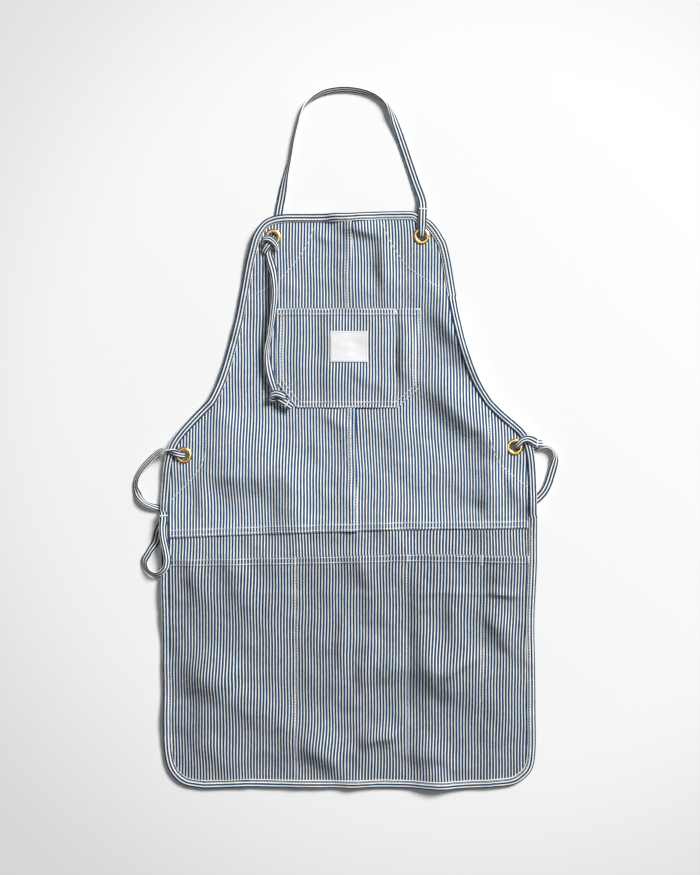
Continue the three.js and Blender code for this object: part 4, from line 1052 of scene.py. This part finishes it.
def chest_plan():
    top = CHEST_ROWS[-1]
    heights = spaced(CHEST_ROWS[0].y, top.y, CLOTH_STEP, [(top.y - CHEST_FINE, top.y)])[:, None]
    slot = CHEST_SLOTS[1].left - top.left
    steps = spaced(0, CHEST_SPAN, CLOTH_STEP, [(slot - DIVIDER_FINE, slot + DIVIDER_FINE)])[None, :]
    levels, left, right = zip(*CHEST_ROWS)
    x = lerp(np.interp(heights, levels, left), np.interp(heights, levels, right), steps / CHEST_SPAN)
    return x, np.broadcast_to(heights, x.shape)


def chest_layer(x, y):
    below = CHEST_ROWS[-1].y - y
    return folded_edge(chest_pocket_under(x, y), hemmed(below, CHEST_HEM_FADE), below)


def chest_pocket():
    x, y = chest_plan()
    return sheet_piece("chest_pocket_cloth", x, y, chest_layer(x, y), striped("bib"), "chest_pocket",
                       GRAIN["chest_pocket"])


def label_layer(x, y):
    edges = [size / 2 - np.abs(at - middle) for at, size, middle in zip((x, y), LABEL_SIZE, LABEL_CENTRE)]
    return folded_edge(label_under(x, y), LABEL_WALL, np.minimum(*edges), LABEL_WALL)


def label():
    sides = zip(LABEL_GRID, LABEL_SIZE, LABEL_CENTRE)
    x, y = np.meshgrid(*(np.linspace(-0.5, 0.5, count) * size + middle for count, size, middle in sides))
    return sheet_piece("label", x, y, label_layer(x, y), material(woven_label, "blank_label"), "label_patch")


def corner_patch(corner):
    side, line = CORNER_PATCHES[corner]
    inner = resampled(strap_curve(line, PATCH_CURVE), PATCH_STEP)
    bound = BOUND_LINES[side]
    ends = [int(np.argmin(np.hypot(*(bound - point).T))) for point in (line[0], line[-1])]
    outer = bound[np.linspace(*ends, len(inner)).round().astype(int)]
    share = np.linspace(0, 1, PATCH_COLUMNS)[None, :, None]
    grid = lerp(inner[:, None, :], outer[:, None, :], share)
    if np.cross(grid[0, -1] - grid[0, 0], grid[-1, 0] - grid[0, 0]) < 0:
        grid = grid[::-1]
    x, y = grid[..., 0], grid[..., 1]
    return sheet_piece("patch_" + corner, x, y, (patch_under(x, y), PATCH_WALL), striped("bib"),
                       "corner_patch_" + corner, GRAIN["patch"], [GROMMETS[corner]])


# Binding

def outline():
    """The finished edge as evenly spaced points in a closed line, and the way into the cloth at each."""
    left, right = SIDE_LINES["left"], SIDE_LINES["right"]
    top = np.linspace(TOP_CORNER["left"], TOP_CORNER["right"], TOP_POINTS)
    hem = np.linspace(right[0], left[0], HEM_POINTS)
    line = np.vstack([left, top[1:-1], right[::-1], hem[1:-1], left[:1]])
    points = resampled(line, CLOTH_STEP)[:-1]
    along = np.roll(points, -2, axis=0) - np.roll(points, 2, axis=0)
    along = unit(along + np.roll(along, 1, axis=0) + np.roll(along, -1, axis=0))
    return points, np.stack([along[:, 1], -along[:, 0]], axis=1)


def binding_profile():
    """Rows of depth from the fold, level and extra height, from the back's edge round the fold to the front.

    Levels up to 1 are shares of the way up to the front face; 2 and 3 are the hollow's roof and floor.
    """
    width, fold = BINDING_WIDTH, BINDING_FOLD
    return [
        (width, 0, 0.3), (width - 0.5, 0, 0), (width / 2, 0, 0), (1.4, 0, 0), (0.4, 0, 0.7), (0, 0.5, 0),
        (0.4, 1, -0.7), (1.4, 1, -0.05), (3.4, 1, 0.15), (6, 1, 0.2), (8.6, 1, 0.1), (width - 2.6, 1, -0.15),
        (width - 1.8, 1, -0.4), (width - 1, 1, -0.15), (width - 0.35, 1, -0.25), (width, 1, -0.6),
        (width - 0.1, 2, 0), (fold, 2, 0), (fold, 3, 0), (width - 0.1, 3, 0),
    ]


def binding():
    points, inward = outline()
    along = np.arange(len(points)) * CLOTH_STEP
    lap, stripe = np.zeros(len(points)), height_along(LEFT_STRIPE, points[:, 1])
    for join in BINDING_JOINS:
        past = along - along[np.argmin(np.hypot(points[:, 0] - join.x, points[:, 1] - join.y))]
        lap += JOIN_LAP * smoothstep(past, *JOIN_EDGE) * falling(past, *JOIN_FADE)
        stripe = lerp(stripe, join.stripe, smoothstep(past, *JOIN_EDGE))
    stripe = stripe + STRIPE_SWAY * np.sin(along / SWAY_LENGTH)
    rings, cuts = [], []
    for depth, level, extra in binding_profile():
        at = points + inward * depth
        front = binding_front(at[:, 0], at[:, 1])
        height = {2: front, 3: BINDING_WALL}.get(level, level * (front + BINDING_WALL))
        z = lie(at[:, 0], at[:, 1]) + height + extra + (lap if level == 1 else 0)
        rings.append(np.column_stack([at, z]))
        cuts.append(np.column_stack([depth - stripe, along]))
    faces = tube_faces(len(rings), len(points), True)[:, [0, 3, 2, 1]]
    shell, cloth = np.vstack(rings), striped("binding")
    piece = new_piece("binding", shell, faces, cloth, ["edge_binding"], np.vstack(cuts))


def binding_top(x, y):
    return lie(x, y) + binding_front(x, y) + BINDING_WALL - BINDING_DIP


# Grommets

def grommet(corner):
    """A brass ring turned from a closed profile: rolled rim, throat, and washer behind the cloth."""
    seat = PANEL_UNDER + CLOTH_WALL + GROMMET_GAP
    hole, barrel, rim, foot = GROMMET_HOLE, GROMMET_BARREL, GROMMET_RIM, GROMMET_FOOT
    turns = np.linspace(-0.1, 1.5, 12)
    roll = [(rim - 2.5 + 2.5 * math.cos(turn), seat + 0.2 + 1.7 * math.sin(turn)) for turn in turns]
    throat = [(rim - 3.2, seat + 1.9), (rim - 3.9, seat + 1.84), (barrel + 0.4, seat + 1.6),
              (barrel - 0.1, seat + 1.2), (hole + 0.5, seat + 0.7), (hole + 0.1, seat + 0.1),
              (hole, seat - 0.6)]
    washer = [(hole, foot + 0.4), (hole + 0.3, foot), (rim - 0.8, foot), (rim - 0.35, foot + 0.35),
              (rim - 0.8, foot + 0.8), (barrel, foot + 0.9), (barrel, seat), (rim - 0.5, seat)]
    radius, height = (column[:, None] for column in np.array([*roll, *throat, *washer]).T)
    gx, gy = GROMMETS[corner]
    angles = np.linspace(0, 2 * math.pi, GROMMET_SIDES, endpoint=False)
    x, y = gx + radius * np.cos(angles), gy + radius * np.sin(angles)
    z = np.broadcast_to(height + float(lie(np.array(gx), np.array(gy))), x.shape)
    points = np.stack([x, y, z], axis=-1).reshape(-1, 3)
    piece = new_piece("brass_ring_" + corner, points, tube_faces(*x.shape, True),
                      material(pressed_brass, "pressed_brass"), ["grommet_" + corner])
    return piece


# Straps

def tape_rows(centre, stations):
    """Middle, face and section of each station of a strap."""
    rows = []
    for s in stations:
        away = np.array(s.toward or (s.x - centre[0], s.y - centre[1]), float)
        away /= np.linalg.norm(away)
        lean = math.radians(s.lean)
        face = (away[0] * math.sin(lean), away[1] * math.sin(lean), math.cos(lean))
        rows.append(((s.x, s.y, s.z), face, s.section))
    return rows


def knot_rows(turns, lift=0):
    return [((t.x, t.y, t.z + lift), t.face, Section(t.width, TURN_THICKNESS)) for t in turns]


def strap_tacks(at, along, normal, width, thickness, spot):
    """Stitches of the bar tack across a strap's upper face, at the place nearest to a spot in plan."""
    k = int(np.argmin(np.hypot(*(at[:, :2] - spot).T) - UPPER_PULL * at[:, 2]))
    up = normal[k] * np.sign(normal[k, 2])
    across = np.cross(along[k], normal[k])
    middle = at[k] + up * (thickness[k] / 2 + STRAP_TACK_RISE)
    half = along[k] * TACK_WIDTH / 2
    threads = []
    for share in np.arange(-STRAP_TACK_REACH, STRAP_TACK_REACH + 0.01, TACK_STEP / width[k]):
        on = middle + across * share * width[k] - up * STRAP_TACK_DIP * abs(2 * share) ** STRAP_TACK_ROUND
        threads.append((on - half, on + half))
    return threads


def strap_piece(name, rows, node, tacks=()):
    """A folded tape swept along its stations, with rounded sides, its stripes lengthwise and its tacks."""
    middles, faces, sections = zip(*rows)
    at = strap_curve(middles, TAPE_STEPS)
    along = unit(np.gradient(at, axis=0))
    place, stations = np.arange(len(at)) / TAPE_STEPS, np.arange(len(rows))
    face = np.stack([np.interp(place, stations, part) for part in zip(*faces)], axis=1)
    width, thickness = (np.interp(place, stations, part) for part in zip(*sections))
    normal = unit(face - along * np.sum(face * along, axis=1, keepdims=True))
    across = np.cross(along, normal)
    angles = np.linspace(0, 2 * math.pi, TAPE_SIDES, endpoint=False)
    u, v = (np.sign(wave) * np.abs(wave) ** TAPE_SQUARENESS / 2 for wave in (np.cos(angles), np.sin(angles)))
    rings = (at[:, None, :] + across[:, None, :] * (u[None, :] * width[:, None])[..., None]
             + normal[:, None, :] * (v[None, :] * thickness[:, None])[..., None])
    cut = np.stack(np.broadcast_arrays(u[None, :] * TAPE.width, lengths_along(at)[:, None]), axis=-1)
    ends = np.arange(TAPE_SIDES)
    sides = tube_faces(len(at), TAPE_SIDES, False)
    caps = [ends[::-1], ends + (len(at) - 1) * TAPE_SIDES]
    tape = new_piece(name, rings.reshape(-1, 3), [*sides, *caps], striped("tape"), [node], cut.reshape(-1, 2))

    threads = [pair for spot in tacks for pair in strap_tacks(at, along, normal, width, thickness, spot)]
    tack_pieces = [thread_piece(name + "_tacks", (1, threads))] if threads else []
    path = placed(at)


def neck_strap():
    rows = [
        *tape_rows(NECK_CENTRE, NECK_START), *knot_rows(STOPPER), *tape_rows(NECK_CENTRE, NECK_TAIL),
        *knot_rows(END_KNOT, KNOT_LIFT),
    ]
    strap_piece("neck_tape", rows, "neck_strap", NECK_TACKS)


def waist_ties():
    strap_piece("tie_tape_left", tape_rows(LEFT_TIE_CENTRE, LEFT_TIE), "waist_tie_left")
    right = tape_rows(RIGHT_TIE_CENTRE, RIGHT_TIE)
    strap_piece("tie_tape_right", right, "waist_tie_right", TIE_TACKS)


def tool_loop():
    strap_piece("loop_tape", tape_rows(LOOP_CENTRE, TOOL_LOOP), "tool_loop", LOOP_TACKS)


# Stitching

def thread_piece(name, *groups):
    """Groups of stitches, each of one weight, as one mesh: a stitch dips into the cloth at both ends."""
    ends = np.concatenate([np.array(threads, float) for weight, threads in groups])
    weights = np.concatenate([np.full(len(threads), weight) for weight, threads in groups])
    start, run = ends[:, 0], ends[:, 1] - ends[:, 0]
    along = unit(run)
    side = unit(np.cross(along, (0, 0, 1)) + (1e-9, 0, 0))
    up = np.cross(side, along)
    radius = settings("sizes").thread / MM / 2 * weights[:, None]
    rings = []
    for share, thick, lift in STITCH_RINGS:
        middle = start + run * share
        middle[:, 2] += lift
        for k in range(STITCH_SIDES):
            angle = 2 * math.pi * k / STITCH_SIDES
            rings.append(middle + (side * math.cos(angle) + up * math.sin(angle)) * radius * thick)
    points = np.stack(rings, axis=1)
    per = points.shape[1]
    base = (np.arange(len(ends)) * per)[:, None, None]
    quads = (tube_faces(len(STITCH_RINGS), STITCH_SIDES, False) + base).reshape(-1, 4)
    caps = np.array([range(STITCH_SIDES)[::-1], range(per - STITCH_SIDES, per)])
    caps = (caps + base).reshape(-1, STITCH_SIDES)
    piece = new_piece(name, points.reshape(-1, 3), [*quads, *caps], material(sewing_thread, "cotton_thread"))
    return piece


def stitch_row(line, top, skip=None):
    """Stitches along a line in plan, on the cloth whose top is given; skip leaves out a range of Y."""
    sizes = settings("sizes")
    stitch, gap = sizes.stitch / MM, sizes.stitch_gap / MM
    row = np.asarray(line, float)
    travelled = lengths_along(row)
    starts = np.arange(ROW_START, travelled[-1] - stitch, stitch + gap)
    uneven = sum(size * np.sin(starts * rate + turn) for size, rate, turn in UNEVEN)
    ends = []
    for offset in (0, stitch):
        places = starts + offset + uneven
        x, y = np.interp(places, travelled, row[:, 0]), np.interp(places, travelled, row[:, 1])
        ends.append(np.column_stack([x, y, top(x, y)]))
    pairs = np.stack(ends, axis=1)
    if skip:
        pairs = pairs[(pairs[:, 0, 1] < skip[0]) | (pairs[:, 0, 1] > skip[1])]
    return list(pairs)


def bar_tack(start, end, top):
    """Close stitches side by side, from start to end in plan."""
    start, end = np.array(start, float), np.array(end, float)
    length = np.linalg.norm(end - start)
    along = (end - start) / length
    half = np.array([-along[1], along[0]]) * TACK_WIDTH / 2
    threads = []
    for place in np.arange(0, length, TACK_STEP):
        spot = start + along * place
        pair = np.array([spot - half, spot + half])
        threads.append(np.column_stack([pair, top(pair[:, 0], pair[:, 1]) + TACK_RISE]))
    return threads


def bib_stitches():
    heights = np.linspace(seam_height(0) + WAIST_LAP, SEAM_ROW_TOP, ROW_POINTS)
    rows, corners = [], []
    for beside in SEAM_ROWS:
        line = np.column_stack([centre_seam_x(heights) + beside, heights])
        rows += stitch_row(line, bib_top, skip=(CHEST_ROWS[0].y + 1, CHEST_ROWS[-1].y - 1))
    across = np.linspace(*ROW_ENDS, ROW_POINTS)
    for above in WAIST_ROWS:
        rows += stitch_row(np.column_stack([across, seam_height(across) + above]), bib_top)
    for _, line in CORNER_PATCHES.values():
        corners += stitch_row(strap_curve(line, PATCH_CURVE), bib_top)

    def on_side(threads, side):
        left = [(start[0] < centre_seam_x(start[1]) + SEAM_HALF) == (side == "left") for start, _ in threads]
        return [ends for ends, kept in zip(threads, left) if kept]

    for side in ("left", "right"):
        groups = (1, on_side(rows, side)), (CORNER_THREAD, on_side(corners, side))
        thread_piece("bib_stitches_" + side, *groups)


def chest_stitches():
    top = top_of(chest_layer)
    tacks, rows = stitch_row(resampled(LABEL_SEAM, ROW_STEP), top_of(label_layer)), []
    for line in CHEST_TACKS:
        tacks += bar_tack(*line, top)
    for line in CHEST_SEAMS:
        rows += stitch_row(resampled(line, ROW_STEP), top)
    slot = stitch_row(resampled(CHEST_DIVIDER, ROW_STEP), top)
    return thread_piece("chest_stitches", (TACK_THREAD, tacks), (CHEST_THREAD, rows), (DIVIDER_THREAD, slot))


def lower_stitches():
    top = top_of(lower_pocket_layer)
    across = np.linspace(*ROW_ENDS, ROW_POINTS)
    rows, tacks, groups = [], [], []
    for below in MOUTH_ROWS:
        rows += stitch_row(np.column_stack([across, mouth_height(across) - below]), top)
    for line in DIVIDER_TACKS:
        tacks += bar_tack(*line, top)
    for divider, weight in DIVIDER_ROWS:
        line = [(divider, mouth_height(divider) - ROW_STEP), (divider, DIVIDER_FOOT)]
        groups.append((weight, stitch_row(line, top)))
    return thread_piece("lower_pocket_stitches", (1, rows), (TACK_THREAD, tacks), *groups)


def binding_stitches():
    points, inward = outline()
    line = points + inward * BINDING_STITCH
    threads = stitch_row(np.vstack([line, line[:1]]), binding_top)
    return thread_piece("binding_stitches", (BINDING_THREAD, threads))


# Stage

def floor():
    mesh = bpy.data.meshes.new("floor")
    corners = [(x * FLOOR_HALF, y * FLOOR_HALF, 0) for x, y in ((-1, -1), (1, -1), (1, 1), (-1, 1))]
    mesh.from_pydata(corners, [], [(0, 1, 2, 3)])
    paper, colour = Shading("pale_floor_painted_shade"), settings("colours").floor
    away = paper.nodes.new("ShaderNodeVectorMath")
    away.operation = "DISTANCE"
    away.inputs[1].default_value = (*FLOOR_MIDDLE, 0)
    paper.put(away.inputs[0], paper.place())
    # Painted shade: the floor's colour is darkened away from its pale middle, standing in for light that
    # falls off towards the edge
    edge = paper.step(away.outputs["Value"], *FLOOR_FADE)
    paper.surface(Base_Color=paper.mix(edge, colour, tinted(colour, FLOOR_PAINTED_SHADE)), Roughness=FLOOR_ROUGH)
    mesh.materials.append(paper.material)
    piece = bpy.data.objects.new("floor", mesh)
    bpy.context.scene.collection.objects.link(piece)


def soft_light(name, power, size, azimuth, elevation, distance):
    data = bpy.data.lights.new(name, "AREA")
    data.energy = power
    data.size = size
    lamp = bpy.data.objects.new(name, data)
    azimuth, elevation = math.radians(azimuth), math.radians(elevation)
    reach = math.cos(elevation)
    toward = Vector((reach * math.cos(azimuth), reach * math.sin(azimuth), math.sin(elevation)))
    lamp.location = distance * toward
    lamp.rotation_euler = (-toward).to_track_quat("-Z", "Y").to_euler()
    bpy.context.scene.collection.objects.link(lamp)


def lights():
    stage = settings("stage")
    soft_light("key", stage.key_power, stage.key_size, *KEY_PLACE)
    soft_light("top", stage.top_power, stage.top_size, *TOP_PLACE)


def soft_world():
    world = bpy.data.worlds.new("studio")
    world.use_nodes = True
    background = world.node_tree.nodes["Background"]
    background.inputs["Color"].default_value = (1, 1, 1, 1)
    background.inputs["Strength"].default_value = settings("stage").fill
    bpy.context.scene.world = world


def camera():
    stage = settings("stage")
    data = bpy.data.cameras.new("camera")
    data.lens = stage.lens
    data.sensor_width = FILM_WIDTH
    data.clip_end = FAR_CLIP
    piece = bpy.data.objects.new("camera", data)
    piece.location = (stage.aim[0], stage.aim[1], stage.camera_height)
    bpy.context.scene.collection.objects.link(piece)
    bpy.context.scene.camera = piece


# Operators

class APRON_OT_stage(bpy.types.Operator):
    """Add the pale floor, the soft light and the camera straight above."""
    bl_idname = "apron.stage"
    bl_label = "Stage"

    def execute(self, context):
        context.scene.view_settings.view_transform = "Standard"
        floor()
        lights()
        soft_world()
        camera()
        return {"FINISHED"}


class APRON_OT_neck_strap(bpy.types.Operator):
    """Add the knotted neck strap."""
    bl_idname = "apron.neck_strap"
    bl_label = "Neck strap"

    def execute(self, context):
        neck_strap()
        return {"FINISHED"}


class APRON_OT_waist_ties(bpy.types.Operator):
    """Add the two waist ties."""
    bl_idname = "apron.waist_ties"
    bl_label = "Waist ties"

    def execute(self, context):
        waist_ties()
        return {"FINISHED"}


class APRON_OT_tool_loop(bpy.types.Operator):
    """Add the loop of tape at the left edge."""
    bl_idname = "apron.tool_loop"
    bl_label = "Tool loop"

    def execute(self, context):
        tool_loop()
        return {"FINISHED"}


class APRON_OT_panels(bpy.types.Operator):
    """Add the two halves of the bib and the skirt."""
    bl_idname = "apron.panels"
    bl_label = "Panels"

    def execute(self, context):
        bib_half("left")
        bib_half("right")
        skirt()
        return {"FINISHED"}


class APRON_OT_pockets(bpy.types.Operator):
    """Add the chest pocket with its label, and the lower pocket."""
    bl_idname = "apron.pockets"
    bl_label = "Pockets"

    def execute(self, context):
        lower_pocket()
        chest_pocket()
        label()
        return {"FINISHED"}


class APRON_OT_corner_patches(bpy.types.Operator):
    """Add the reinforcements behind the four corners."""
    bl_idname = "apron.corner_patches"
    bl_label = "Corner patches"

    def execute(self, context):
        for corner in CORNER_PATCHES:
            corner_patch(corner)
        return {"FINISHED"}


class APRON_OT_binding(bpy.types.Operator):
    """Add the binding around the whole edge."""
    bl_idname = "apron.binding"
    bl_label = "Binding"

    def execute(self, context):
        binding()
        return {"FINISHED"}


class APRON_OT_grommets(bpy.types.Operator):
    """Add the four brass grommets."""
    bl_idname = "apron.grommets"
    bl_label = "Grommets"

    def execute(self, context):
        for corner in GROMMETS:
            grommet(corner)
        return {"FINISHED"}


class APRON_OT_stitching(bpy.types.Operator):
    """Add the rows of stitches and the bar tacks."""
    bl_idname = "apron.stitching"
    bl_label = "Stitching"

    def execute(self, context):
        bib_stitches()
        chest_stitches()
        lower_stitches()
        binding_stitches()
        return {"FINISHED"}


OPERATORS = (
    APRON_OT_stage, APRON_OT_neck_strap, APRON_OT_waist_ties, APRON_OT_tool_loop, APRON_OT_grommets,
    APRON_OT_stitching, APRON_OT_panels, APRON_OT_pockets, APRON_OT_corner_patches, APRON_OT_binding,
)


class APRON_PT_panel(bpy.types.Panel):
    """The apron's pieces and settings."""
    bl_idname = "APRON_PT_panel"
    bl_label = "Apron"
    bl_space_type = "VIEW_3D"
    bl_region_type = "UI"
    bl_category = "Apron"

    def draw(self, context):
        for operator in OPERATORS:
            self.layout.operator(operator.bl_idname)
        for group in GROUPS:
            box = self.layout.box()
            for name in GROUPS[group].__annotations__:
                box.prop(settings(group), name)


GROUPS = {"sizes": ApronSizes, "colours": ApronColours, "stage": ApronStage}
CLASSES = (*GROUPS.values(), *OPERATORS, APRON_PT_panel)


def register():
    for cls in CLASSES:
        bpy.utils.register_class(cls)
    for group, cls in GROUPS.items():
        setattr(bpy.types.Scene, "apron_" + group, PointerProperty(type=cls))


def unregister():
    for group in GROUPS:
        delattr(bpy.types.Scene, "apron_" + group)
    for cls in reversed(CLASSES):
        bpy.utils.unregister_class(cls)


def main():
    register()
    for operator in OPERATORS:
        group, name = operator.bl_idname.split(".")
        getattr(getattr(bpy.ops, group), name)()


if __name__ == "__main__":
    main()
